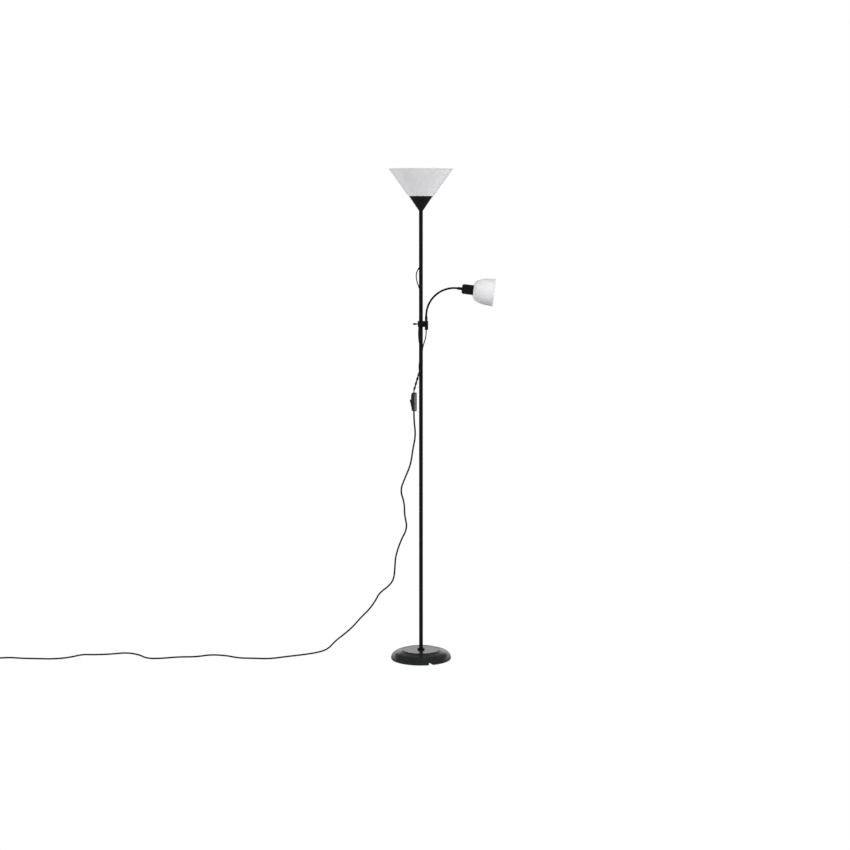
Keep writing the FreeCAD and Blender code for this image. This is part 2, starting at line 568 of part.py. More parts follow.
# ---- plug -----------------------------------------------------------------------------------------
def plug():
    """Flat two-pin plug that lies on the floor, with its pins and strain relief."""
    middle = PLUG_HEIGHT / 2
    corners = [(PLUG_FACE_X, -PLUG_HALF_WIDTH), (PLUG_FACE_X, PLUG_HALF_WIDTH),
               (PLUG_FACE_X + 9, PLUG_HALF_WIDTH), (PLUG_REAR_X - 8, 9.0), (PLUG_REAR_X, 7.0),
               (PLUG_REAR_X, -7.0), (PLUG_REAR_X - 8, -9.0), (PLUG_FACE_X + 9, -PLUG_HALF_WIDTH)]
    points = [V(x, y + PLUG_Y, 0) for x, y in corners]
    body = Part.Face(Part.makePolygon(points + [points[0]])).extrude(UP * PLUG_HEIGHT)
    body = body.makeFillet(2.0, [e for e in body.Edges if e.BoundBox.ZLength < 0.1
                                 and e.BoundBox.XLength > 1.0])
    pins = []
    for side in (-1, 1):
        y = PLUG_Y + side * PIN_SPACING / 2
        root = rod(PIN_ROOT_RADIUS, (PLUG_FACE_X + PIN_ROOT_LENGTH, y, middle), (PLUG_FACE_X, y, middle))
        blade = rod(PIN_RADIUS, (PLUG_FACE_X, y, middle), (PLUG_FACE_X - PIN_LENGTH, y, middle))
        pins.append(root.fuse(blade))
    body = body.cut(Part.makeCompound(pins))
    relief = Part.makeCone(5.0, 3.8, 22.0, V(PLUG_REAR_X, PLUG_Y, middle), V(1, 0, 0))
    return {"plug_body": body, "plug_pins": Part.makeCompound(pins), "plug_strain_relief": relief}


# ---- cords ------------------------------------------------------------------------------------------
def twisted(first_angle):
    """Points of one cord of the twisted pair, a quarter turn apart."""
    axis = TWIST_END - TWIST_START
    along = V(axis).normalize()
    side = (V(1, 0, 0) - along * along.x).normalize()
    other = along.cross(side)
    points = []
    for i in range(TWIST_QUARTERS + 1):
        angle = math.radians(first_angle + 90 * i)
        offset = side * (TWIST_OFFSET * math.cos(angle)) + other * (TWIST_OFFSET * math.sin(angle))
        points.append(tuple(TWIST_START + axis * (i / TWIST_QUARTERS) + offset))
    return points


def cord(name, route, diameter):
    """Tube along straight runs joined by tangent arcs, as large as the two runs allow."""
    points = [V(*p) for p in route]
    runs = [(b - a).Length for a, b in zip(points, points[1:])]
    edges = []
    radii = []
    length = 0.0
    here = points[0]
    for i in range(1, len(points) - 1):
        before = (points[i] - points[i - 1]).normalize()
        after = (points[i + 1] - points[i]).normalize()
        turn = before.getAngle(after)
        setback = 0.45 * min(runs[i - 1], runs[i])
        radius = setback / math.tan(turn / 2)
        start = points[i] - before * setback
        end = points[i] + after * setback
        inward = (after - before).normalize()
        middle = points[i] + inward * (radius / math.cos(turn / 2) - radius)
        edges.append(Part.LineSegment(here, start).toShape())
        edges.append(Part.Arc(start, middle, end).toShape())
        length += (start - here).Length + radius * turn
        radii.append(radius)
        here = end
    edges.append(Part.LineSegment(here, points[-1]).toShape())
    length += (points[-1] - here).Length
    way = points[1] - points[0]
    circle = Part.Wire(Part.Circle(points[0], way, diameter / 2).toShape())
    sweep = Part.BRepOffsetAPI.MakePipeShell(Part.Wire(edges))
    sweep.add(circle, False, False)
    sweep.build()
    sweep.makeSolid()
    tube = sweep.shape()
    expected = math.pi * diameter ** 2 / 4 * length
    print(f"{name}: length {length:.0f}, runs {min(runs):.0f} to {max(runs):.0f}, "
          f"radii in diameters {[round(r / diameter, 1) for r in radii]}, "
          f"volume ratio {tube.Volume / expected:.4f}, "
          f"lowest {tube.optimalBoundingBox(False).ZMin:.2f}")
    return tube


def cords():
    """The four lengths of cord."""
    uplight_route = UPLIGHT_CORD + twisted(180) + [UPLIGHT_CORD_END]
    reading_route = READING_CORD_LOWER + twisted(0) + [READING_CORD_END]
    return {
        "uplight_cord": cord("uplight_cord", uplight_route, LEAD_DIAMETER),
        "reading_cord_upper": cord("reading_cord_upper", READING_CORD_UPPER, LEAD_DIAMETER),
        "reading_cord_lower": cord("reading_cord_lower", reading_route, LEAD_DIAMETER),
        "mains_cord": cord("mains_cord", MAINS_CORD, MAINS_DIAMETER),
    }


def lamp():
    """Every node of the lamp by name."""
    nodes = {"base_pad": base_pad(), "base_plate": base_plate(), "base_weight": base_weight(),
             "base_cover": base_cover()}
    nodes.update(base_hardware())
    nodes.update(pole())
    cord_outlet(nodes)
    nodes.update(uplight())
    nodes.update({"clamp_body": clamp_body(), "clamp_liner": clamp_liner(),
                  "thumb_screw": thumb_screw(), "neck_set_screw": neck_set_screw(),
                  "lower_ferrule": lower_ferrule()})
    nodes.update(gooseneck())
    nodes.update(reading_head())
    nodes.update(switch())
    nodes.update(plug())
    nodes.update(cords())
    return nodes


os.makedirs("parts", exist_ok=True)
for node_name, node_shape in lamp().items():
    if not node_shape.isValid():
        print("not valid:", node_name)
    node_shape.exportStep(f"parts/{node_name}.step")
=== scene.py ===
"""Looks of the torchiere floor lamp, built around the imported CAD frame. Metres, +Z up.

Outlines and routes are written in millimetres and scaled where they are used.
"""

import json
import math

import bmesh
import bpy
from mathutils import Matrix, Vector


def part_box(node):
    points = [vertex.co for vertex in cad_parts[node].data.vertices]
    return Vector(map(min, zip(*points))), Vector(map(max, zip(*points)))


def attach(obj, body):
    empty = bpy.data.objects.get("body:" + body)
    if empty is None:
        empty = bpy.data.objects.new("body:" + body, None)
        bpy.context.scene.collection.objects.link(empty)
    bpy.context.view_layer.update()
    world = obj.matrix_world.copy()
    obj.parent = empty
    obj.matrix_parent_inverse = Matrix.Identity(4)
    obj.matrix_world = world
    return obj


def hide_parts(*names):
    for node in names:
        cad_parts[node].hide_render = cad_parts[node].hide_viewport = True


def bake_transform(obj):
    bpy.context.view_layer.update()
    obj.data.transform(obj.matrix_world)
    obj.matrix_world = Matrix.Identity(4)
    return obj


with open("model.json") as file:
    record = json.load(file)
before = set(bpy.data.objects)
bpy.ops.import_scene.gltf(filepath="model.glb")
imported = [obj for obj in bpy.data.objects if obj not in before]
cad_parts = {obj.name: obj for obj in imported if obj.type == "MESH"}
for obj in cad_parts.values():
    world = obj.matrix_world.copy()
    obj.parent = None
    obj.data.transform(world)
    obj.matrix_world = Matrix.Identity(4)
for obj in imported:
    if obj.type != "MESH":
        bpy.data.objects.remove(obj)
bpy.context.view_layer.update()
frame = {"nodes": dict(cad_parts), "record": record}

MM = 0.001
MATERIALS = {}               # every finish by the record's slot name

# ---- camera, in metres and degrees ----
CAMERA_PLACE = (0.0146, -6.67, 1.66)
CAMERA_LENS = 78.8
CAMERA_DIP = 6.82            # below level

# ---- driving sizes, in millimetres ----
LEAD_DIAMETER = 4.0
MAINS_DIAMETER = 6.0
TWIST_START = Vector((-3.5, 13.0, 1060.0))
TWIST_END = Vector((-25.2, 0.6, 988.5))
TWIST_OFFSET = 2.9           # of each cord from the middle of the twisted pair
TWIST_QUARTERS = 9
TUBE_COUNT = 5
POLE_RADIUS = 7.0
POLE_BORE = 6.1
NOTCH_AZIMUTH = math.radians(-70.5)
NOTCH_WIDTH = 16.0
NOTCH_HEIGHT = 9.0
OUTLET = Vector((-8.5, 3.1, 1423.5))     # outer end of the cord outlet in the pole
OUTLET_WAY = Vector((-0.604, 0.220, -0.766)).normalized()
SOCKET_X = 18.9              # axis of the clamp's socket, where the neck stands
SOCKET_STRETCH = 2.1         # the socket is oval, thicker where the grub screw goes in
CLAMP_BORE = 8.65
SPIGOT_BORE = 3.85           # of the socket, for the foot of the lower ferrule
LEAD_BORE = 2.2              # of the pieces between neck and lampholder
SCREW_Z = 1227.2             # height of the thumb screw and the grub screw
PADDLE_X = -22.2             # middle of the thumb screw's paddle
HEAD_DROP = 7.0              # degrees that the reading head points below level
HEAD_START = 4.3             # distance from the head's own origin to the end of the neck
NECK_FOOT = 1256.0
BEND_RADIUS = 100.0
BEND_CENTRE = Vector((SOCKET_X + BEND_RADIUS, 0.0, NECK_FOOT))
NECK_SWEEP = 90.0 + HEAD_DROP
NECK_PIVOTS = 5
NECK_RADIUS = 3.75
RIB_PITCH = 1.9              # of the flexible tube's winding
RIB_DEPTH = 0.45
RINGS_PER_RIB = 7
HOSE_SIDES = 24
SWITCH_SEAM = -26.2
SWITCH_FRONT, SWITCH_BACK = -36.0, -15.0
SWITCH_FOOT, SWITCH_TOP = 913.3, 980.0
SWITCH_HALF_WIDTH = 14.0
SWITCH_ROUNDING = 3.2        # of its ends
SWITCH_SQUARENESS = 5.0      # exponent of its cross-section
SWITCH_DRAFT = 0.15          # how fast it narrows away from the seam
FOOT_LEAN = (3.4, 24.0, 1.4)     # how far its front leans in, over which height, and the exponent
TOP_LEAN = (4.0, 12.0, 1.8)
SWITCH_SIDES = 120
AXLE_X, AXLE_Z = -32.5, 943.0
SCREW_HEIGHTS = (922.0, 965.0)
PLUG_FACE, PLUG_TAIL = -1660.0, -1624.0
PLUG_Y = -2.0
PLUG_MIDDLE = 6.85           # height of the pins above the floor
PIN_PLACES = (PLUG_Y - 9.3, PLUG_Y + 9.3)
RELIEF_LENGTH = 22.0
RELIEF_RINGS = 6

# ---- light ----
DIM_STUDIO = 0.22
BRIGHT_BACKDROP = 1.2
BACKDROP_FRONT = (0.1, 0.7)      # Y of a direction of length one, where it sets in and is in full
BACKDROP_FOOT = (0.02, 0.08)     # Z of such a direction, where it sets in and is in full
BACKDROP_TOP = (0.30, 0.45)      # and where it starts to fade and is gone
FLOOR_GREY = 0.50
LAMP_MIDDLE = (0.0, 0.0, 1.2)
SOFT_LIGHTS = (              # name, place, width and height, power
    ("key", (3.2, -2.4, 2.6), 1.6, 136.0),
    ("fill", (-3.4, -2.0, 2.2), 1.6, 98.0),
    ("top", (0.0, 0.6, 4.2), 2.2, 8.0),
)

# ---- routes of the cords, as in part.py ----
UPLIGHT_CORD = [
    (-8.5, 3.1, 1423.5), (-15.1, 5.5, 1415.1), (-17.4, 8.0, 1396.0), (-13.8, 11.5, 1376.0),
    (-5.5, 14.5, 1355.0), (0.5, 15.5, 1325.0), (2.5, 17.5, 1285.0), (0.0, 18.8, 1250.0),
    (-5.5, 16.8, 1226.0), (-8.5, 15.0, 1204.0), (-8.2, 14.6, 1173.0), (-3.5, 13.6, 1147.0),
    (-2.2, 12.8, 1112.0), (-6.0, 13.2, 1086.0), (-7.2, 13.4, 1070.0),
]
UPLIGHT_CORD_END = (-25.4, 4.0, 980.0)
READING_CORD_UPPER = [
    (18.9, 0.0, 1206.0), (18.8, 0.6, 1193.0), (16.8, 3.2, 1177.0), (12.2, 8.0, 1161.0),
    (6.6, 12.0, 1145.0), (5.0, 12.6, 1128.0),
]
READING_CORD_LOWER = [
    (5.0, 12.6, 1128.0), (3.0, 13.35, 1106.75), (3.6, 13.6, 1086.0), (1.4, 13.6, 1071.0),
]
READING_CORD_END = (-25.4, -4.0, 980.0)
MAINS_CORD = [
    (-25.4, 0.0, 913.3), (-25.4, 0.0, 880.0), (-19.0, 0.0, 825.0), (-29.0, 1.0, 776.0),
    (-37.0, 4.0, 718.0), (-57.0, 10.0, 670.0), (-76.0, 14.0, 622.0), (-60.0, 11.0, 576.0),
    (-60.0, 10.0, 530.0), (-49.0, 8.0, 484.0), (-74.0, 14.0, 436.0), (-93.0, 19.0, 378.0),
    (-95.5, 21.0, 334.0), (-99.0, 23.5, 292.0), (-118.0, 29.0, 264.0), (-152.0, 39.0, 238.0),
    (-168.0, 43.0, 206.0), (-192.0, 49.0, 171.0), (-224.0, 57.0, 139.0), (-250.0, 64.0, 106.0),
    (-282.0, 73.0, 76.0), (-318.0, 84.0, 46.0), (-345.0, 91.0, 14.0), (-380.0, 84.0, 3.0),
    (-430.0, 50.0, 3.0), (-492.0, 20.0, 3.0), (-556.0, -16.0, 3.0), (-612.0, -7.0, 3.0),
    (-668.0, -4.0, 3.0), (-716.0, 34.0, 3.0), (-778.0, 48.0, 3.0), (-826.0, 14.0, 3.0),
    (-892.0, 14.0, 3.0), (-952.0, -10.0, 3.0), (-1004.0, -10.0, 3.0), (-1040.0, 48.0, 3.0),
    (-1092.0, 80.0, 3.0), (-1150.0, 54.0, 3.0), (-1212.0, 46.0, 3.0), (-1250.0, 52.0, 3.0),
    (-1292.0, 2.0, 3.0), (-1346.0, -18.0, 3.0), (-1406.0, -12.0, 3.0), (-1462.0, -8.0, 3.0),
    (-1508.0, 6.0, 3.0), (-1550.0, -6.0, 3.0), (-1579.0, -2.0, 6.85), (-1602.0, -2.0, 6.85),
]


def metres(point):
    """A point in millimetres as a vector in metres."""
    return Vector(point) * MM


def facing(origin, way):
    """Place of a turned piece whose own Z axis starts at origin and runs along way."""
    turn = Vector(way).to_track_quat("Z", "Y")
    return Matrix.Translation(metres(origin)) @ turn.to_matrix().to_4x4()


# ---- camera ----
def make_camera():
    """Camera in front of the lamp, a little below its top, looking slightly down."""
    data = bpy.data.cameras.new("camera")
    data.sensor_width = 36.0
    data.lens = CAMERA_LENS
    data.clip_end = 60.0
    camera = linked("camera", data)
    camera.location = CAMERA_PLACE
    camera.rotation_euler = (math.radians(90.0 - CAMERA_DIP), 0.0, 0.0)
    bpy.context.scene.camera = camera


# ---- node materials ----
def new_material(name):
    """Plain node material, listed in MATERIALS. Returns its node tree and its Principled shader."""
    material = bpy.data.materials.new(name)
    material.use_nodes = True
    MATERIALS[name] = material
    tree = material.node_tree
    return tree, tree.nodes["Principled BSDF"]


def grey(level):
    """Colour with three equal parts."""
    return (level, level, level)


def noise(tree, scale, detail, stretch=None):
    """Noise texture in object space, stretched along an axis if asked."""
    place = tree.nodes.new("ShaderNodeTexCoord")
    texture = tree.nodes.new("ShaderNodeTexNoise")
    texture.inputs["Scale"].default_value = scale
    texture.inputs["Detail"].default_value = detail
    source = place.outputs["Object"]
    if stretch:
        mapping = tree.nodes.new("ShaderNodeMapping")
        mapping.inputs["Scale"].default_value = stretch
        tree.links.new(source, mapping.inputs["Vector"])
        source = mapping.outputs["Vector"]
    tree.links.new(source, texture.inputs["Vector"])
    return texture.outputs["Fac"]


def mapped(tree, source, start, end, low, high, interpolation="SMOOTHSTEP"):
    """Maps a value that runs from start to end to the range from low to high."""
    ramp = tree.nodes.new("ShaderNodeMapRange")
    ramp.interpolation_type = interpolation
    for name, value in (("From Min", start), ("From Max", end), ("To Min", low), ("To Max", high)):
        ramp.inputs[name].default_value = value
    tree.links.new(source, ramp.inputs["Value"])
    return ramp.outputs["Result"]


def spread(tree, source, low, high):
    """Maps a noise value to the range from low to high."""
    return mapped(tree, source, 0.3, 0.7, low, high, "LINEAR")


def tint(tree, source, dark, light):
    """Colour between two, by a noise value."""
    mix = tree.nodes.new("ShaderNodeMix")
    mix.data_type = "RGBA"
    mix.inputs["A"].default_value = (*dark, 1.0)
    mix.inputs["B"].default_value = (*light, 1.0)
    tree.links.new(spread(tree, source, 0.0, 1.0), mix.inputs["Factor"])
    return mix.outputs["Result"]


def bump(tree, shader, source, strength, distance):
    """Adds surface relief from a texture value."""
    relief = tree.nodes.new("ShaderNodeBump")
    relief.inputs["Strength"].default_value = strength
    relief.inputs["Distance"].default_value = distance
    tree.links.new(source, relief.inputs["Height"])
    tree.links.new(relief.outputs["Normal"], shader.inputs["Normal"])


def coated(name, dark, light, rough, grain, relief, metal=0.0, gloss=0.25, patches=40.0, stretch=None):
    """Surface with patchy colour, uneven gloss and a fine relief. rough is (least, most)."""
    tree, shader = new_material(name)
    broad = noise(tree, patches, 3.0)
    tree.links.new(tint(tree, broad, dark, light), shader.inputs["Base Color"])
    fine = noise(tree, grain, 4.0, stretch)
    tree.links.new(spread(tree, fine, *rough), shader.inputs["Roughness"])
    bump(tree, shader, fine, relief, 0.0002)
    shader.inputs["Metallic"].default_value = metal
    shader.inputs["Specular IOR Level"].default_value = 0.5 if metal else gloss


def frosted(name):
    """Translucent white moulding with a satin face and a faint flow pattern."""
    tree, shader = new_material(name)
    broad = noise(tree, 14.0, 2.0, (1.0, 1.0, 0.25))
    tree.links.new(tint(tree, broad, (0.80, 0.80, 0.82), (0.86, 0.86, 0.88)),
                   shader.inputs["Base Color"])
    fine = noise(tree, 1600.0, 3.0)
    tree.links.new(spread(tree, fine, 0.48, 0.60), shader.inputs["Roughness"])
    shader.inputs["Specular IOR Level"].default_value = 0.3
    bump(tree, shader, broad, 0.10, 0.0004)
    shader.inputs["Subsurface Weight"].default_value = 0.15
    shader.inputs["Subsurface Radius"].default_value = (1.0, 1.0, 1.0)
    shader.inputs["Subsurface Scale"].default_value = 0.002


def opal_glass(name):
    """White coated bulb glass."""
    tree, shader = new_material(name)
    broad = noise(tree, 30.0, 2.0)
    tree.links.new(tint(tree, broad, (0.86, 0.86, 0.84), (0.92, 0.92, 0.90)),
                   shader.inputs["Base Color"])
    fine = noise(tree, 900.0, 2.0)
    tree.links.new(spread(tree, fine, 0.10, 0.18), shader.inputs["Roughness"])
    bump(tree, shader, fine, 0.03, 0.0001)
    shader.inputs["Subsurface Weight"].default_value = 0.4
    shader.inputs["Subsurface Scale"].default_value = 0.004


def foam(name):
    """Closed-cell foam with a pitted face."""
    tree, shader = new_material(name)
    place = tree.nodes.new("ShaderNodeTexCoord")
    cells = tree.nodes.new("ShaderNodeTexVoronoi")
    cells.inputs["Scale"].default_value = 900.0
    tree.links.new(place.outputs["Object"], cells.inputs["Vector"])
    tree.links.new(tint(tree, cells.outputs["Distance"], grey(0.02), grey(0.05)),
                   shader.inputs["Base Color"])
    bump(tree, shader, cells.outputs["Distance"], 0.5, 0.0004)
    shader.inputs["Roughness"].default_value = 0.95


def make_materials():
    """Every finish, under the record's slot name."""
    coated("satin_black_paint", grey(0.005), grey(0.008), (0.34, 0.44), 1500.0, 0.10, gloss=0.14)
    coated("neck_black", grey(0.004), grey(0.007), (0.30, 0.42), 1200.0, 0.12, gloss=0.10)
    coated("base_black", (0.010, 0.011, 0.012), (0.015, 0.016, 0.017), (0.18, 0.26), 700.0, 0.05,
           gloss=0.5, patches=18.0)
    coated("black_plastic", grey(0.005), grey(0.009), (0.42, 0.56), 2600.0, 0.35, gloss=0.14)
    coated("screw_black", grey(0.004), grey(0.007), (0.35, 0.50), 1800.0, 0.20, gloss=0.10)
    coated("lampholder_plastic", grey(0.010), grey(0.016), (0.40, 0.50), 2000.0, 0.20)
    frosted("shade_white")
    coated("switch_black", grey(0.010), grey(0.014), (0.22, 0.30), 3000.0, 0.30, gloss=0.5)
    coated("rocker_black", grey(0.006), grey(0.010), (0.20, 0.28), 1500.0, 0.05, gloss=0.3)
    coated("plug_black", grey(0.008), grey(0.014), (0.45, 0.60), 2400.0, 0.25)
    coated("cord_black", grey(0.004), grey(0.008), (0.38, 0.52), 900.0, 0.18, gloss=0.10, patches=60.0)
    coated("grommet_rubber", grey(0.006), grey(0.010), (0.60, 0.75), 1600.0, 0.25, gloss=0.10)
    coated("liner_nylon", grey(0.020), grey(0.030), (0.40, 0.55), 1200.0, 0.10)
    foam("pad_foam")
    coated("weight_iron", grey(0.05), (0.12, 0.11, 0.10), (0.60, 0.85), 500.0, 0.80, metal=0.8)
    coated("zinc_steel", (0.50, 0.50, 0.52), grey(0.64), (0.25, 0.40), 800.0, 0.10, metal=1.0)
    coated("brass", (0.66, 0.48, 0.22), (0.80, 0.60, 0.30), (0.22, 0.35), 900.0, 0.08, metal=1.0)
    coated("cap_metal", grey(0.62), grey(0.74), (0.25, 0.38), 900.0, 0.08, metal=1.0)
    opal_glass("bulb_glass")
    coated("clamp_bar_plastic", grey(0.08), grey(0.12), (0.45, 0.60), 1500.0, 0.15)
    coated("pin_nickel", grey(0.66), (0.76, 0.76, 0.74), (0.15, 0.25), 1200.0, 0.05, metal=1.0,
           stretch=(0.1, 1.0, 1.0))


# ---- making meshes ----
SHARP_ANGLE = 32.0           # degrees from which an edge shows as an edge
TUBE_ANGLE = 50.0            # the same for swept tubes and the switch
HOSE_ANGLE = 60.0            # the same for the wound hose
WORN_ANGLE = 50.0            # from which worn_edges rounds an edge
CORNER_STEPS = 4
ON_AXIS = 1e-6


def linked(name, data):
    """New object of a mesh, curve, light or camera, in the scene."""
    thing = bpy.data.objects.new(name, data)
    bpy.context.scene.collection.objects.link(thing)
    return thing


def shaded(mesh, sharp=SHARP_ANGLE):
    """Smooth shading that breaks at sharp edges."""
    mesh.shade_smooth()
    mesh.set_sharp_from_angle(angle=math.radians(sharp))


def solid(name, points, faces, sharp=SHARP_ANGLE):
    """Object from points and faces, with its faces turned outwards."""
    mesh = bpy.data.meshes.new(name)
    mesh.from_pydata(points, [], faces)
    work = bmesh.new()
    work.from_mesh(mesh)
    bmesh.ops.recalc_face_normals(work, faces=work.faces)
    work.to_mesh(mesh)
    work.free()
    shaded(mesh, sharp)
    return linked(name, mesh)


def short_turn(angle):
    """The same angle between minus and plus half a turn."""
    return (angle + math.pi) % (2 * math.pi) - math.pi


def arc(start, middle, end, steps):
    """Points of the arc through three points, without its start."""
    (ax, ay), (bx, by), (cx, cy) = start, middle, end
    a, b, c = (x * x + y * y for x, y in (start, middle, end))
    double = 2 * (ax * (by - cy) + bx * (cy - ay) + cx * (ay - by))
    centre = Vector(((a * (by - cy) + b * (cy - ay) + c * (ay - by)) / double,
                     (a * (cx - bx) + b * (ax - cx) + c * (bx - ax)) / double))
    radius = (Vector(start) - centre).length
    first, second, third = (math.atan2(y - centre.y, x - centre.x) for x, y in (start, middle, end))
    sweep = short_turn(second - first) + short_turn(third - second)
    angles = [first + sweep * k / steps for k in range(1, steps + 1)]
    return [centre + Vector((math.cos(angle), math.sin(angle))) * radius for angle in angles]


def rounded_corner(back, here, ahead, radius):
    """Points that round a corner off, by about radius."""
    reach = [min(radius, 0.45 * (other - here).length) for other in (back, ahead)]
    start = here + (back - here).normalized() * reach[0]
    end = here + (ahead - here).normalized() * reach[1]
    turns = [k / CORNER_STEPS for k in range(CORNER_STEPS + 1)]
    return [start * (1 - t) ** 2 + here * 2 * t * (1 - t) + end * t ** 2 for t in turns]


def outline(corners, steps=10):
    """Points of a closed outline. A corner is (x, y), or (x, y, radius) where it is rounded,
    or (mid x, mid y, x, y) at the end of an arc."""
    points = []
    for corner in corners:
        if len(corner) == 4:
            points += [(p, 0.0) for p in arc(points[-1][0], corner[:2], corner[2:], steps)]
        else:
            points.append((Vector(corner[:2]), corner[2] if len(corner) == 3 else 0.0))
    line = []
    for i, (here, radius) in enumerate(points):
        back, ahead = points[i - 1][0], points[(i + 1) % len(points)][0]
        line += rounded_corner(back, here, ahead, radius) if radius else [here]
    return line


def lathe(name, profile, place=None, segments=96):
    """Turned piece from an outline of (radius, height) in millimetres, closed or ending on the axis."""
    place = place or Matrix.Identity(4)
    points, rows = [], []
    for radius, height in profile:
        if radius < ON_AXIS:
            rows.append([len(points)] * segments)
            points.append((0.0, 0.0, height))
            continue
        rows.append(list(range(len(points), len(points) + segments)))
        for j in range(segments):
            angle = 2 * math.pi * j / segments
            points.append((radius * math.cos(angle), radius * math.sin(angle), height))
    faces = []
    is_open = sum(radius < ON_AXIS for radius, _ in profile) >= 2
    last = len(rows) - 1 if is_open else len(rows)
    for i in range(last):
        first, second = rows[i], rows[(i + 1) % len(rows)]
        for j in range(segments):
            k = (j + 1) % segments
            face = list(dict.fromkeys([first[j], first[k], second[k], second[j]]))
            if len(face) > 2:
                faces.append(face)
    return solid(name, [place @ metres(p) for p in points], faces)


def cylinder(radius, low, high, place, segments):
    """Plain round cutter along a place's own axis."""
    return lathe("cutter", [(0.0, low), (radius, low), (radius, high), (0.0, high)], place, segments)


def tube_faces(rings, sides):
    """Faces of a tube of rings of points, closed at both ends."""
    faces = [list(range(sides)), [(rings - 1) * sides + j for j in range(sides)]]
    for i in range(rings - 1):
        for j in range(sides):
            k = (j + 1) % sides
            faces.append([i * sides + j, i * sides + k, (i + 1) * sides + k, (i + 1) * sides + j])
    return faces


def swept(name, path, radius, sides):
    """Round tube of a radius in metres along a path."""
    points = [Vector(p) for p in path]
    way = (points[1] - points[0]).normalized()
    side = way.orthogonal().normalized()
    rows = []
    for i, point in enumerate(points):
        ahead = points[min(i + 1, len(points) - 1)] - points[max(i - 1, 0)]
        turned_way = ahead.normalized()
        side = (way.rotation_difference(turned_way) @ side).normalized()
        way = turned_way
        other = way.cross(side)
        for j in range(sides):
            angle = 2 * math.pi * j / sides
            rows.append(point + (side * math.cos(angle) + other * math.sin(angle)) * radius)
    return solid(name, rows, tube_faces(len(points), sides), TUBE_ANGLE)


def cutting_rod(start, end, radius, sides):
    """Round cutter between two points, in millimetres."""
    return swept("cutter", [metres(start), metres(end)], radius * MM, sides)


def rounded_box(name, low, high, radius):
    """Box between two corners in millimetres, with every edge rounded."""
    work = bmesh.new()
    bmesh.ops.create_cube(work, size=1.0)
    low, high = metres(low), metres(high)
    size = high - low
    bmesh.ops.transform(work, matrix=Matrix.Translation((low + high) / 2)
                        @ Matrix.Diagonal((*size, 1.0)), verts=work.verts)
    bmesh.ops.bevel(work, geom=work.edges[:], offset=radius * MM, segments=CORNER_STEPS, profile=0.5,
                    affect="EDGES")
    mesh = bpy.data.meshes.new(name)
    work.to_mesh(mesh)
    work.free()
    shaded(mesh)
    return linked(name, mesh)


def extruded(name, shape, low, high, axis):
    """Prism of a flat outline in millimetres, from low to high along Y or Z."""
    count = len(shape)
    points = []
    for along in (low, high):
        points += [(a, along, b) if axis == "Y" else (a, b, along) for a, b in shape]
    faces = [list(range(count)), list(range(count, 2 * count))]
    for i in range(count):
        k = (i + 1) % count
        faces.append([i, k, count + k, count + i])
    return solid(name, [metres(p) for p in points], faces)


def baked(thing):
    """Applies a piece's modifiers to its mesh."""
    graph = bpy.context.evaluated_depsgraph_get()
    mesh = bpy.data.meshes.new_from_object(thing.evaluated_get(graph))
    thing.modifiers.clear()
    thing.data = mesh
    shaded(mesh)
    return thing


def combined(thing, others, operation):
    """Adds or cuts other solids, which are then gone."""
    for other in others:
        modifier = thing.modifiers.new("combine", "BOOLEAN")
        modifier.operation = operation
        modifier.solver = "EXACT"
        modifier.object = other
    baked(thing)
    for other in others:
        bpy.data.objects.remove(other)
    return thing


def worn_edges(thing, width, segments):
    """Small rounding along the sharp edges of a piece."""
    modifier = thing.modifiers.new("edges", "BEVEL")
    modifier.width = width * MM
    modifier.segments = segments
    modifier.limit_method = "ANGLE"
    modifier.angle_limit = math.radians(WORN_ANGLE)
    modifier.harden_normals = True
    return baked(thing)


def joined(name, things):
    """One object from several meshes, which are then gone."""
    work = bmesh.new()
    for thing in things:
        work.from_mesh(thing.data)
    mesh = bpy.data.meshes.new(name)
    work.to_mesh(mesh)
    work.free()
    for thing in things:
        bpy.data.objects.remove(thing)
    shaded(mesh)
    return linked(name, mesh)


def dressed(thing, body, nodes, slot):
    """Gives a piece its finish, its body and the CAD nodes that it stands for."""
    thing.data.materials.clear()
    thing.data.materials.append(MATERIALS[slot])
    if body:
        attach(thing, body)
    if nodes:
        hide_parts(*nodes)
    return thing


def turned(node, corners, body, slot, place=None, segments=96, steps=10):
    """Finished turned piece that stands for one CAD node, from the corners of its outline."""
    piece = lathe("fine_" + node, outline(corners, steps), place, segments)
    return dressed(piece, body, [node], slot)


# ---- cords ----
def twisted(first_angle):
    """Points of one cord of the twisted pair, a quarter turn apart, in millimetres."""
    axis = TWIST_END - TWIST_START
    along = axis.normalized()
    side = (Vector((1, 0, 0)) - along * along.x).normalized()
    other = along.cross(side)
    points = []
    for i in range(TWIST_QUARTERS + 1):
        angle = math.radians(first_angle + 90 * i)
        offset = side * (TWIST_OFFSET * math.cos(angle)) + other * (TWIST_OFFSET * math.sin(angle))
        points.append(tuple(TWIST_START + axis * (i / TWIST_QUARTERS) + offset))
    return points


def route_curve(name, route, diameter, resolution=6):
    """NURBS curve with the route's points as its control points."""
    data = bpy.data.curves.new(name, "CURVE")
    data.dimensions = "3D"
    data.resolution_u = resolution
    data.bevel_depth = diameter * MM / 2
    data.bevel_resolution = 5
    data.use_fill_caps = diameter > 0
    spline = data.splines.new("NURBS")
    spline.points.add(len(route) - 1)
    for point, place in zip(spline.points, route):
        point.co = (*metres(place), 1.0)
    spline.order_u = 3
    spline.use_endpoint_u = True
    spline.resolution_u = resolution
    return linked(name, data)


def route_line(route, resolution):
    """Points along the smooth line of a route."""
    probe = route_curve("probe", route, 0.0, resolution)
    graph = bpy.context.evaluated_depsgraph_get()
    mesh = bpy.data.meshes.new_from_object(probe.evaluated_get(graph))
    line = [vertex.co.copy() for vertex in mesh.vertices]
    bpy.data.meshes.remove(mesh)
    bpy.data.objects.remove(probe)
    return line


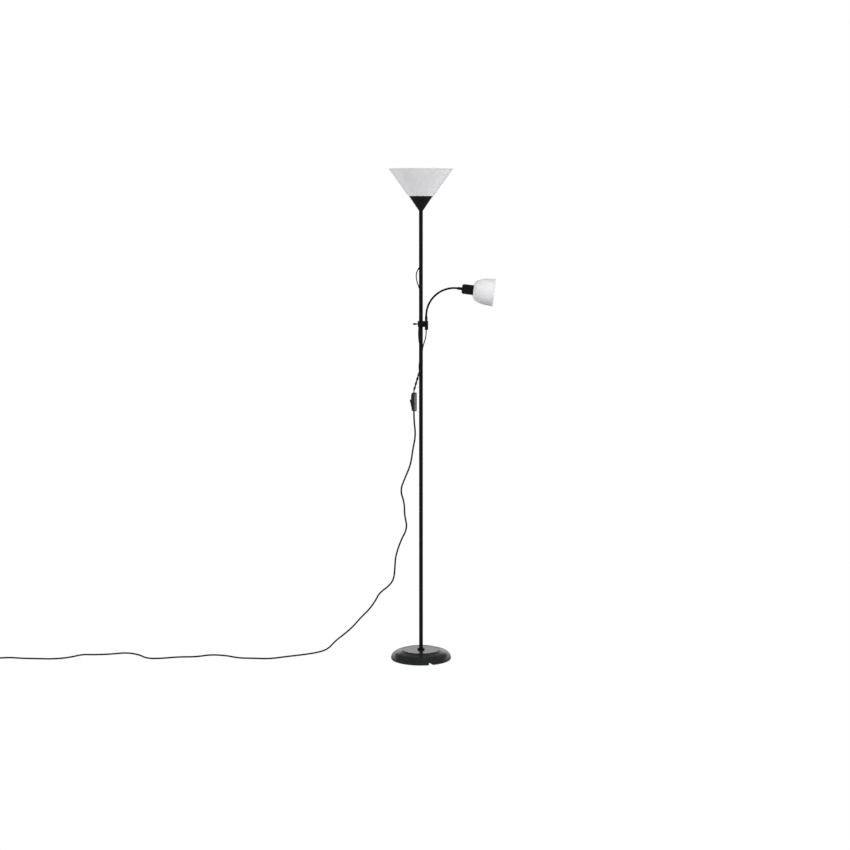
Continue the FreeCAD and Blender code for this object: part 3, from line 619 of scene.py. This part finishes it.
def line_length(line):
    """Length of a line of points."""
    return sum((b - a).length for a, b in zip(line, line[1:]))


def route_length(route):
    """Length of the smooth line of a route."""
    return line_length(route_line(route, 12))


def bending_cord(node, route):
    """Mesh cord of the reading light, swept along its route."""
    line = route_line(route, 8)
    cord = swept("fine_" + node, line, LEAD_DIAMETER * MM / 2, 16)
    dressed(cord, None, [node], "cord_black")
    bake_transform(cord)


def make_cords(on_mains):
    """The uplight's cord, the reading light's cord in two lengths, and the mains cord.
    on_mains, the pieces on the mains cord, is not used."""
    uplight_route = UPLIGHT_CORD + twisted(180) + [UPLIGHT_CORD_END]
    uplight = route_curve("fine_uplight_cord", uplight_route, LEAD_DIAMETER)
    dressed(uplight, "stand", ["uplight_cord"], "cord_black")
    route_length(uplight_route)

    bending_cord("reading_cord_upper", READING_CORD_UPPER)
    bending_cord("reading_cord_lower", READING_CORD_LOWER + twisted(0) + [READING_CORD_END])

    mains = route_curve("fine_mains_cord", MAINS_CORD, MAINS_DIAMETER)
    dressed(mains, "stand", ["mains_cord"], "cord_black")
    route_length(MAINS_CORD)


# ---- base ----
def make_base():
    """Domed cover with a low lip round its flat top and a notch in its rim, and the collar."""
    cover = lathe("fine_base_cover", outline([
        (108.3, 0.7, 0.5), (109.7, 3.4), (110.0, 6.8), (101.5, 22.0, 88.0, 28.6), (68.7, 32.6, 0.6),
        (68.2, 34.4), (67.6, 35.15, 66.2, 35.2), (61.0, 34.85, 3.0), (57.0, 34.8), (5.2, 34.8),
        (5.2, 33.2), (66.0, 33.2), (67.2, 31.2), (87.6, 27.0), (100.3, 20.9, 108.4, 6.8),
        (106.7, 0.7)], 16), segments=180)
    notch = rounded_box("cutter", (80.0, -NOTCH_WIDTH / 2, -9.0),
                        (125.0, NOTCH_WIDTH / 2, NOTCH_HEIGHT), 2.0)
    notch.data.transform(Matrix.Rotation(NOTCH_AZIMUTH, 4, "Z"))
    combined(cover, [notch], "DIFFERENCE")
    dressed(cover, "stand", ["base_cover"], "base_black")
    turned("base_collar", [
        (5.2, 34.8), (13.5, 34.8, 0.4), (13.5, 37.3), (12.8, 39.2, 11.0, 39.8), (8.2, 39.8, 0.5),
        (7.6, 39.0), (5.2, 39.0)], "stand", "satin_black_paint", segments=64)


# ---- pole ----
def make_pole():
    """Tubes with eased ends, so that each joint shows as a hairline, and the cord outlet."""
    for number in range(1, TUBE_COUNT + 1):
        node = f"pole_tube_{number}"
        low, high = (corner.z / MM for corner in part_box(node))
        tube = lathe("fine_" + node, outline([
            (POLE_BORE, low), (POLE_RADIUS, low, 0.35), (POLE_RADIUS, high, 0.35), (POLE_BORE, high)]),
            segments=64)
        if number == TUBE_COUNT:
            ends = [OUTLET - OUTLET_WAY * reach for reach in (9.0, -2.0)]
            combined(tube, [cutting_rod(*ends, 3.0, 32)], "DIFFERENCE")
        dressed(tube, "stand", [node], "satin_black_paint")
    turned("cord_grommet", [
        (2.05, -7.0), (3.0, -7.0), (3.0, -3.4), (4.4, -3.2, 0.4), (4.4, -1.9, 0.5), (3.3, -1.4, 0.4),
        (3.0, 0.0, 0.5), (2.05, 0.0)], "stand", "grommet_rubber", facing(OUTLET, OUTLET_WAY), 40)


# ---- uplight ----
def threads(radius, low, high, pitch, depth):
    """Corners of a rounded thread along an outline, from low to high."""
    corners = []
    for i in range(round((high - low) / pitch)):
        start = low + i * pitch
        corners += [(radius - depth, start + 0.15 * pitch), (radius, start + 0.4 * pitch),
                    (radius, start + 0.6 * pitch), (radius - depth, start + 0.85 * pitch)]
    return corners


def knurled(thing, middle, count, depth, least):
    """Presses notches into the outside of a piece, beyond a radius, about its own axis."""
    inverse = middle.inverted()
    for vertex in thing.data.vertices:
        local = inverse @ vertex.co
        radius = math.hypot(local.x, local.y)
        if radius < least * MM:
            continue
        wave = 0.5 - 0.5 * math.cos(count * math.atan2(local.y, local.x))
        scale = 1 - depth * MM * wave ** 2 / radius
        vertex.co = middle @ Vector((local.x * scale, local.y * scale, local.z))


def bulb(name, cap_top, neck, centre, place):
    """Globe of a bulb with its narrower neck."""
    join_angle = math.radians(-52)
    join = (22.5 * math.cos(join_angle), centre + 22.5 * math.sin(join_angle))
    flank = ((neck + join[0]) / 2 - 0.8, (cap_top + join[1]) / 2 + 0.6)
    profile = outline([(0.0, cap_top), (neck, cap_top), flank + join,
                       (22.5, centre, 0.0, centre + 22.5)], 20)
    profile[-1].x = 0.0
    return lathe(name, profile, place, 96)


def make_uplight():
    """Cup, shade with its rolled rim, lampholder, shade ring and bulb."""
    turned("uplight_cup", [
        (5.05, 1630.0), (6.9, 1630.0, 0.3), (7.6, 1631.0, 0.5), (41.2, 1680.9, 0.8),
        (42.7, 1681.2, 0.4), (42.7, 1683.0, 0.4), (40.5, 1683.0, 0.3), (39.5, 1681.5),
        (14.1, 1644.0), (5.05, 1644.0)], "stand", "satin_black_paint", segments=128)
    turned("uplight_shade", [
        (20.2, 1683.0), (45.4, 1683.0, 0.5), (45.6, 1685.6, 0.6), (47.6, 1686.0, 0.8),
        (112.8, 1776.6, 1.0), (115.0, 1777.2, 0.6), (115.5, 1778.7), (115.1, 1779.8, 114.2, 1780.0),
        (112.6, 1779.4, 0.5), (111.0, 1777.0, 1.0), (45.6, 1686.2, 1.5), (44.4, 1685.0),
        (20.2, 1685.0)], "stand", "shade_white", segments=192)
    turned("uplight_lampholder",
           [(5.05, 1648.0), (13.9, 1648.0, 0.6), (19.9, 1656.0, 1.0), (19.9, 1666.0, 0.5)]
           + threads(19.9, 1667.0, 1694.0, 3.0, 0.8)
           + [(19.0, 1696.0, 0.6), (13.8, 1696.0, 0.4), (13.8, 1660.0), (5.05, 1660.0)],
           "stand", "lampholder_plastic")
    ring = turned("uplight_shade_ring", [
        (20.0, 1685.0), (27.0, 1685.0, 0.5), (27.0, 1687.4, 0.6), (23.0, 1687.8, 0.4),
        (22.6, 1691.0, 0.5), (20.0, 1691.0)], "stand", "lampholder_plastic", segments=192)
    knurled(ring, Matrix.Identity(4), 32, 0.9, 25.5)
    globe = bulb("fine_uplight_bulb", 1692.0, 13.2, 1722.0, None)
    dressed(globe, "stand", ["uplight_bulb_glass"], "bulb_glass")


# ---- clamp ----
def make_clamp():
    """Flanged ring round the pole, ribbed bridge, socket with a lip, and the screws."""
    body = lathe("fine_clamp_body", outline([
        (CLAMP_BORE, 1216.4), (11.9, 1216.4, 0.5), (12.0, 1218.6, 0.4), (11.5, 1219.2, 0.5),
        (11.5, 1235.2, 0.5), (12.0, 1235.8, 0.4), (11.9, 1238.0, 0.5), (CLAMP_BORE, 1238.0)]),
        segments=72)
    bridge = rounded_box("bridge", (9.2, -3.8, 1216.8), (18.0, 3.8, 1237.6), 1.2)
    ribs = [rounded_box("rib", (9.2, -4.5, low), (18.0, 4.5, low + 3.2), 0.8)
            for low in (1216.8, 1234.4)]
    socket_place = Matrix.Translation(metres((SOCKET_X, 0.0, 0.0)))
    lobes = [lathe("lobe", outline([
        (0.0, 1206.0), (4.6, 1206.0, 0.6), (5.2, 1207.4, 0.5), (5.2, 1237.0, 0.5), (4.7, 1238.0, 0.4),
        (0.0, 1238.0)]), Matrix.Translation(metres((x, 0.0, 0.0))), 48)
        for x in (SOCKET_X, SOCKET_X + SOCKET_STRETCH)]
    web = rounded_box("web", (SOCKET_X, -5.2, 1206.6), (SOCKET_X + SOCKET_STRETCH, 5.2, 1237.4), 0.1)
    combined(body, [bridge, *ribs, *lobes, web], "UNION")
    screw_place = facing((0.0, 0.0, SCREW_Z), (-1, 0, 0))
    cutters = [cylinder(CLAMP_BORE, 1200.0, 1250.0, None, 72),
               cylinder(SPIGOT_BORE, 1213.0, 1250.0, socket_place, 40),
               cylinder(2.1, 1200.0, 1214.0, socket_place, 32),
               cylinder(2.45, 5.0, 20.0, screw_place, 32),
               cylinder(1.5, -30.0, -SOCKET_X, screw_place, 24)]
    combined(body, cutters, "DIFFERENCE")
    dressed(body, "clamp", ["clamp_body"], "black_plastic")
    make_thumb_screw(screw_place)
    make_grub_screw(screw_place)
    turned("lower_ferrule", [
        (LEAD_BORE, 1213.0), (3.8, 1213.0), (3.8, 1238.0), (4.85, 1238.0, 0.3), (4.85, 1240.6, 0.3),
        (4.5, 1241.0), (4.5, 1241.6), (4.85, 1242.0, 0.3), (4.85, 1253.0, 0.8), (4.2, NECK_FOOT, 0.6),
        (LEAD_BORE, NECK_FOOT)], "clamp", "satin_black_paint", socket_place, 48)


def make_thumb_screw(place):
    """Threaded shank, collar and a rounded two-finger paddle with grip grooves."""
    screw = lathe("fine_thumb_screw", outline(
        [(0.0, 8.9), (1.6, 8.9, 0.4)] + threads(2.4, 9.6, 17.2, 0.8, 0.3)
        + [(3.3, 17.5, 0.4), (3.3, 19.6, 0.6), (2.6, 20.6, 0.4), (0.0, 20.6)]), place, 40)
    paddle = lathe("paddle", outline([(0.0, -3.3), (5.2, -3.3, 1.0), (7.0, -1.7, 0.8), (7.0, 1.7, 0.8),
                                      (5.2, 3.3, 1.0), (0.0, 3.3)]),
                   Matrix.Translation(metres((PADDLE_X, 0.0, SCREW_Z))), 64)
    block = rounded_box("cutter", (-20.5, -9.0, SCREW_Z - 4), (-10.0, 9.0, SCREW_Z + 4), 0.3)
    grooves = [cutting_rod((x, -9.0, SCREW_Z + side * 3.6), (x, 9.0, SCREW_Z + side * 3.6), 0.6, 12)
               for x in (-23.0, -24.8, -26.6) for side in (-1, 1)]
    combined(paddle, [block, *grooves], "DIFFERENCE")
    combined(screw, [paddle], "UNION")
    dressed(screw, "thumb_screw", ["thumb_screw"], "screw_black")


def make_grub_screw(place):
    """Grub screw of the neck's socket, with its hexagonal hole."""
    low, high = -(SOCKET_X + SOCKET_STRETCH + 5.5), -(SOCKET_X + SPIGOT_BORE)
    grub = lathe("fine_neck_set_screw", [(0.0, low), (1.3, low), (1.5, low + 0.2), (1.5, high),
                                         (0.0, high)], place, 24)
    combined(grub, [cylinder(0.75, low - 1, low + 1, place, 6)], "DIFFERENCE")
    dressed(grub, "clamp", ["neck_set_screw"], "screw_black")


# ---- gooseneck ----
def neck_point(turn):
    """Point of the neck's centre line in millimetres, turn degrees after its bend starts."""
    angle = math.radians(180.0 - turn)
    return BEND_CENTRE + Vector((math.cos(angle), 0.0, math.sin(angle))) * BEND_RADIUS


def wound_hose(name, first, last):
    """Stretch of the flexible tube between two turns, with its winding as a fine rib."""
    rings = round(BEND_RADIUS * math.radians(last - first) / RIB_PITCH * RINGS_PER_RIB)
    points = []
    for i in range(rings + 1):
        turn = first + (last - first) * i / rings
        middle = neck_point(turn)
        outward = (middle - BEND_CENTRE).normalized()
        travelled = BEND_RADIUS * math.radians(turn)
        for j in range(HOSE_SIDES):
            angle = 2 * math.pi * j / HOSE_SIDES
            wave = math.cos(2 * math.pi * travelled / RIB_PITCH - angle)
            radius = NECK_RADIUS - RIB_DEPTH * (0.5 - 0.5 * wave) ** 2
            spoke = outward * math.cos(angle) + Vector((0.0, 1.0, 0.0)) * math.sin(angle)
            points.append(metres(middle + spoke * radius))
    return solid(name, points, tube_faces(rings + 1, HOSE_SIDES), HOSE_ANGLE)


def make_gooseneck():
    """Five curved stretches of wound hose along the neck's arc, from middle to middle of the CAD links,
    each spanning one pivot.
    """
    links = [f"neck_link_{number}" for number in range(1, NECK_PIVOTS)]
    sweep = NECK_SWEEP / NECK_PIVOTS
    for i, node in enumerate(["neck_root", *links]):
        hose = wound_hose(f"fine_neck_hose_{i + 1}", sweep * i, sweep * (i + 1))
        replaced = [node, "neck_tip"] if i == NECK_PIVOTS - 1 else [node]
        dressed(hose, None, replaced, "neck_black")
        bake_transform(hose)


# ---- reading head ----
def head_place():
    """Place of the reading head, whose own Z axis runs from the neck to the shade."""
    dip = math.radians(HEAD_DROP)
    way = Vector((math.cos(dip), 0.0, -math.sin(dip)))
    return facing(neck_point(NECK_SWEEP) - way * HEAD_START, way)


def make_reading_head():
    """Ferrule, two-part lampholder housing, bell shade, its ring, the lampholder and the bulb."""
    turned("upper_ferrule", [
        (LEAD_BORE, HEAD_START), (4.2, HEAD_START, 0.5), (5.25, 6.6, 0.8), (5.25, 15.4, 0.3),
        (4.9, 15.8), (4.9, 16.4), (5.25, 16.8, 0.3), (5.25, 20.0), (LEAD_BORE, 20.0)],
        "reading_head", "satin_black_paint", HEAD, 48)
    turned("holder_cap", [
        (LEAD_BORE, 20.0), (8.0, 20.0, 0.5), (15.0, 21.5, 17.4, 30.0), (17.4, 32.5, 0.3), (17.1, 33.0),
        (15.4, 33.0), (15.4, 30.0), (8.0, 22.5), (LEAD_BORE, 22.5)],
        "reading_head", "black_plastic", HEAD)
    turned("holder_cup", [
        (15.8, 33.0), (17.5, 33.0), (17.8, 33.5, 0.3), (17.8, 36.0, 0.2), (17.45, 36.3), (17.45, 36.9),
        (17.8, 37.2, 0.2), (17.8, 58.6, 0.6), (18.7, 59.4, 0.4), (18.7, 61.0, 0.3), (14.3, 61.0),
        (14.3, 59.4), (15.8, 59.4)], "reading_head", "black_plastic", HEAD)
    turned("reading_shade", [
        (14.3, 61.0), (20.5, 61.0, 1.5), (29.6, 64.6, 37.5, 74.5), (43.6, 89.0, 46.5, 103.0),
        (47.6, 112.0, 48.3, 121.0), (49.3, 130.0), (50.5, 132.6, 0.8), (50.5, 135.0, 0.7),
        (49.4, 135.4, 0.5), (48.4, 135.0, 0.5), (47.2, 130.0, 1.0), (46.5, 121.5),
        (45.7, 112.0, 44.7, 103.4), (41.9, 90.0, 36.0, 75.8), (28.6, 66.4, 20.0, 62.8),
        (14.3, 62.8)], "reading_head", "shade_white", HEAD, 160, 14)
    ring = turned("reading_shade_ring", [
        (13.9, 62.8), (19.0, 62.8, 0.4), (19.0, 65.0, 0.5), (16.4, 65.4, 0.3), (16.2, 67.5, 0.4),
        (13.9, 67.5)], "reading_head", "lampholder_plastic", HEAD, 144)
    knurled(ring, HEAD, 24, 0.8, 17.8)
    turned("reading_lampholder",
           [(3.0, 24.0), (7.8, 24.0, 0.6), (13.8, 32.0, 1.0), (13.8, 56.0, 0.4)]
           + threads(13.8, 57.0, 71.0, 2.0, 0.6)
           + [(13.0, 72.0, 0.4), (7.5, 72.0, 0.3), (7.5, 44.0), (3.0, 44.0)],
           "reading_head", "lampholder_plastic", HEAD, 72)
    globe = bulb("fine_reading_bulb", 71.5, 6.9, 102.0, HEAD)
    dressed(globe, "reading_head", ["reading_bulb_glass"], "bulb_glass")


# ---- in-line switch ----
def leaning(distance, depth, reach, exponent):
    """How far the switch's front leans in at a distance from one of its ends."""
    return depth * max(0.0, 1 - distance / reach) ** exponent


def squared(value):
    """Sine or cosine of a circle, made into that of the switch's squarish cross-section."""
    return math.copysign(abs(value) ** (2 / SWITCH_SQUARENESS), value)


def switch_section(height, inset):
    """Ring of points round the switch at a height, widest at the seam, with the front leaning in
    near the ends."""
    from_foot = height - SWITCH_FOOT - inset
    from_top = SWITCH_TOP - inset - height
    to_end = max(0.0, SWITCH_ROUNDING - min(from_foot, from_top))
    ease = SWITCH_ROUNDING - math.sqrt(SWITCH_ROUNDING ** 2 - min(to_end, SWITCH_ROUNDING) ** 2)
    lean = leaning(from_foot, *FOOT_LEAN) + leaning(from_top, *TOP_LEAN)
    front = SWITCH_FRONT + inset + lean + 0.8 * ease
    back = SWITCH_BACK - inset - 0.8 * ease
    half = SWITCH_HALF_WIDTH - inset - ease
    points = []
    for i in range(SWITCH_SIDES):
        angle = 2 * math.pi * i / SWITCH_SIDES
        x = (front + back) / 2 + (back - front) / 2 * squared(math.cos(angle))
        y = (half - SWITCH_DRAFT * abs(x - SWITCH_SEAM)) * squared(math.sin(angle))
        points.append(metres((x, y, height)))
    return points


def switch_form(name, inset):
    """Pillow-shaped block of the switch, smaller all round by inset."""
    low, high = SWITCH_FOOT + inset, SWITCH_TOP - inset
    curve = [SWITCH_ROUNDING * (1 - math.cos(math.radians(turn))) for turn in range(8, 90, 10)]
    inner = [SWITCH_ROUNDING + (high - low - 2 * SWITCH_ROUNDING) * k / 24 for k in range(25)]
    heights = [low + h for h in curve + inner] + [high - h for h in reversed(curve)]
    points = [point for height in heights for point in switch_section(height, inset)]
    return solid(name, points, tube_faces(len(heights), SWITCH_SIDES), TUBE_ANGLE)


def half_switch(name, low_x, high_x):
    """Hollow half of the switch between two X planes."""
    half = switch_form(name, 0.0)
    slab = rounded_box("slab", (low_x, -20.0, 905.0), (high_x, 20.0, 990.0), 0.35)
    combined(half, [switch_form("cutter", 1.8)], "DIFFERENCE")
    return combined(half, [slab], "INTERSECT")


def cord_holes():
    """Cutters for the two cords at the top and the one at the bottom."""
    ends = [(UPLIGHT_CORD_END, LEAD_DIAMETER), (READING_CORD_END, LEAD_DIAMETER),
            (MAINS_CORD[0], MAINS_DIAMETER)]
    return [cutting_rod((x, y, z - 4), (x, y, z + 4), diameter / 2 + 0.1, 24)
            for (x, y, z), diameter in ends]


def make_switch():
    """Both halves with the seam, the window, the two rockers and the screws at the back."""
    front = half_switch("fine_switch_front", -40.0, SWITCH_SEAM)
    window = rounded_box("cutter", (-45.0, -9.1, 929.0), (-32.0, 9.1, 957.6), 0.9)
    combined(front, [window, *cord_holes()], "DIFFERENCE")
    dressed(front, "stand", ["switch_front"], "switch_black")

    back = half_switch("fine_switch_back", SWITCH_SEAM, -10.0)
    bores = [cutting_rod((-16.7, 0.0, z), (-10.0, 0.0, z), 3.0, 32) for z in SCREW_HEIGHTS]
    combined(back, [*bores, *cord_holes()], "DIFFERENCE")
    dressed(back, "stand", ["switch_back"], "switch_black")

    rockers = [make_rocker(1, "uplight_rocker"), make_rocker(-1, "reading_rocker")]
    inside = [bpy.data.objects[name] for name in ("rocker_axle", "switch_contacts", "cord_clamp_bars")]
    return [front, back, *rockers, make_switch_screws(), *inside]


def make_rocker(side, name):
    """Rocker with softened edges and three grip grooves below its raised end."""
    middle = side * 4.6
    profile = outline([(-30.5, 932.0), (-35.4, 931.6, 0.5), (-36.4, 932.8, 0.5),
                       (-37.6, 941.0, -40.2, 951.2), (-40.1, 953.6, -38.6, 954.6), (-33.0, 955.0, 0.5),
                       (-30.5, 952.0)])
    rocker = worn_edges(extruded("fine_" + name, profile, middle - 4.1, middle + 4.1, "Y"), 0.5, 3)
    grooves = [cutting_rod((x, middle - 3.0, z), (x, middle + 3.0, z), 0.4, 12)
               for x, z in ((-39.45, 948.4), (-38.95, 946.6), (-38.5, 944.8))]
    axle = cutting_rod((AXLE_X, -12.0, AXLE_Z), (AXLE_X, 12.0, AXLE_Z), 1.05, 24)
    combined(rocker, [*grooves, axle], "DIFFERENCE")
    return dressed(rocker, name, [name], "rocker_black")


def make_switch_screws():
    """Two countersunk screws with a cross slot."""
    screws = []
    for z in SCREW_HEIGHTS:
        place = facing((-16.6, 0.0, z), (1, 0, 0))
        screw = lathe("screw", outline(
            [(0.0, -14.4), (0.9, -14.4)] + threads(1.2, -14.0, -0.4, 0.8, 0.25)
            + [(2.6, 0.0, 0.2), (2.6, 0.8, 0.3), (1.4, 1.4), (0.0, 1.4)]), place, 32)
        slots = [rounded_box("slot", (-15.9, -a, z - b), (-14.5, a, z + b), 0.1)
                 for a, b in ((1.5, 0.3), (0.3, 1.5))]
        screws.append(combined(screw, slots, "DIFFERENCE"))
    return dressed(joined("fine_switch_screws", screws), "stand", ["switch_screws"], "zinc_steel")


# ---- plug ----
def make_plug():
    """Flat plug with grip grooves, sleeved pins and a ribbed strain relief."""
    thickness = 2 * PLUG_MIDDLE
    shape = outline([(PLUG_FACE, -19.6, 2.5), (-1651.0, -19.6, 3.0), (-1632.0, -11.0, 3.0),
                     (PLUG_TAIL, -9.0, 1.5), (PLUG_TAIL, 5.0, 1.5), (-1632.0, 7.0, 3.0),
                     (-1651.0, 15.6, 3.0), (PLUG_FACE, 15.6, 2.5)])
    body = worn_edges(extruded("fine_plug_body", shape, 0.0, thickness, "Z"), 2.2, 5)
    grooves = [rounded_box("cutter", (x - 0.7, -14.0, z - 0.7), (x + 0.7, 10.0, z + 0.7), 0.5)
               for x in (-1636.0, -1639.5, -1643.0) for z in (0.0, thickness)]
    combined(body, grooves, "DIFFERENCE")
    dressed(body, "stand", ["plug_body"], "plug_black")

    pins, sleeves = [], []
    for y in PIN_PLACES:
        place = facing((PLUG_FACE, y, PLUG_MIDDLE), (-1, 0, 0))
        pins.append(lathe("pin", outline([(0.0, -6.0), (1.5, -6.0), (1.5, 10.0), (2.0, 10.2),
                                          (2.0, 18.0, 0.8), (1.0, 19.0, 0.4), (0.0, 19.0)]), place, 32))
        sleeves.append(lathe("sleeve", outline([(1.55, 0.0), (1.95, 0.0), (1.95, 10.0, 0.2),
                                                (1.55, 10.0)]), place, 32))
    pins = dressed(joined("fine_plug_pins", pins), "stand", ["plug_pins"], "pin_nickel")
    sleeves = dressed(joined("fine_pin_sleeves", sleeves), "stand", [], "plug_black")

    profile = [(3.05, 0.0)]
    pitch = RELIEF_LENGTH / RELIEF_RINGS
    for i in range(RELIEF_RINGS):
        start = i * pitch
        radius = 5.0 - 1.2 * i / RELIEF_RINGS
        profile += [(radius, start + 0.1, 0.4), (radius, start + 2.2, 0.4), (radius - 0.7, start + 2.4),
                    (radius - 0.7, start + pitch)]
    profile += [(3.05, RELIEF_LENGTH)]
    relief = turned("plug_strain_relief", profile, "stand", "plug_black",
                    facing((PLUG_TAIL, PLUG_Y, PLUG_MIDDLE), (1, 0, 0)), 40)
    return [body, pins, sleeves, relief]


# ---- stage ----
def white_to_camera(tree, shader, output):
    """Shows pure white to the camera and the given shader to every other ray."""
    path = tree.nodes.new("ShaderNodeLightPath")
    white = tree.nodes.new("ShaderNodeEmission")
    white.inputs["Strength"].default_value = 1.0
    mix = tree.nodes.new("ShaderNodeMixShader")
    tree.links.new(path.outputs["Is Camera Ray"], mix.inputs["Fac"])
    tree.links.new(shader, mix.inputs[1])
    tree.links.new(white.outputs["Emission"], mix.inputs[2])
    tree.links.new(mix.outputs["Shader"], output.inputs["Surface"])


def product(tree, first, second):
    """One value times another."""
    times = tree.nodes.new("ShaderNodeMath")
    times.operation = "MULTIPLY"
    tree.links.new(first, times.inputs[0])
    tree.links.new(second, times.inputs[1])
    return times.outputs["Value"]


def make_surroundings():
    """Studio that is dim but for a bright band behind the lamp, from level to some way up."""
    world = bpy.data.worlds.new("studio")
    world.use_nodes = True
    bpy.context.scene.world = world
    tree = world.node_tree
    background = tree.nodes["Background"]
    background.inputs["Color"].default_value = (1.0, 1.0, 1.0, 1.0)
    place = tree.nodes.new("ShaderNodeTexCoord")
    split = tree.nodes.new("ShaderNodeSeparateXYZ")
    tree.links.new(place.outputs["Generated"], split.inputs["Vector"])
    behind = mapped(tree, split.outputs["Y"], *BACKDROP_FRONT, 0.0, 1.0)
    above_foot = mapped(tree, split.outputs["Z"], *BACKDROP_FOOT, 0.0, 1.0)
    below_top = mapped(tree, split.outputs["Z"], *BACKDROP_TOP, 1.0, 0.0)
    inside = product(tree, product(tree, behind, above_foot), below_top)
    strength = mapped(tree, inside, 0.0, 1.0, DIM_STUDIO, BRIGHT_BACKDROP)
    tree.links.new(strength, background.inputs["Strength"])
    white_to_camera(tree, background.outputs["Background"], tree.nodes["World Output"])


def add_light(name, place, aim, size, power, seen):
    """Soft light of a size (width, height). Only a seen one shows in glossy surfaces."""
    data = bpy.data.lights.new(name, "AREA")
    data.shape = "RECTANGLE"
    data.size, data.size_y = size
    data.energy = power
    lamp = linked(name, data)
    lamp.location = place
    lamp.rotation_euler = (Vector(aim) - Vector(place)).to_track_quat("-Z", "Y").to_euler()
    lamp.visible_glossy = seen
    lamp.visible_camera = False
    return lamp


def light_switch_halves():
    """Strip light that lights only the two halves of the switch, for the bright band on them."""
    strip = add_light("strip", (1.4, -3.1, 0.7), (0.0, 0.0, 0.9), (0.6, 1.5), 37.0, True)
    receivers = bpy.data.collections.new("lit_by_strip")
    for name in ("fine_switch_front", "fine_switch_back"):
        receivers.objects.link(bpy.data.objects[name])
    strip.light_linking.receiver_collection = receivers


def make_stage():
    """Grey floor and studio, which both look white to the camera, and the lights."""
    mesh = bpy.data.meshes.new("floor")
    reach = 30.0
    mesh.from_pydata([(-reach, -reach, 0), (reach, -reach, 0), (reach, reach, 0), (-reach, reach, 0)],
                     [], [(0, 1, 2, 3)])
    floor = linked("floor", mesh)
    tree, shader = new_material("floor_white")
    shader.inputs["Base Color"].default_value = (*grey(FLOOR_GREY), 1.0)
    shader.inputs["Roughness"].default_value = 0.9
    white_to_camera(tree, shader.outputs["BSDF"], tree.nodes["Material Output"])
    mesh.materials.append(MATERIALS["floor_white"])

    make_surroundings()
    for name, place, size, power in SOFT_LIGHTS:
        add_light(name, place, LAMP_MIDDLE, (size, size), power, False)
    light_switch_halves()


# ---- pieces that keep their CAD shape ----
def dress_cad_nodes():
    """Gives every CAD node the finish of its slot."""
    slots = {row["node"]: row["material_slot"] for row in frame["record"]["subparts"]}
    for name, node in frame["nodes"].items():
        material = MATERIALS[slots[name]]
        if not node.material_slots:
            node.data.materials.append(material)
        for slot in node.material_slots:
            slot.material = material


bpy.context.scene.view_settings.view_transform = "Standard"
HEAD = head_place()
make_camera()
make_materials()
make_cords(make_switch() + make_plug())
dress_cad_nodes()
make_base()
make_pole()
make_uplight()
make_clamp()
make_gooseneck()
make_reading_head()
make_stage()
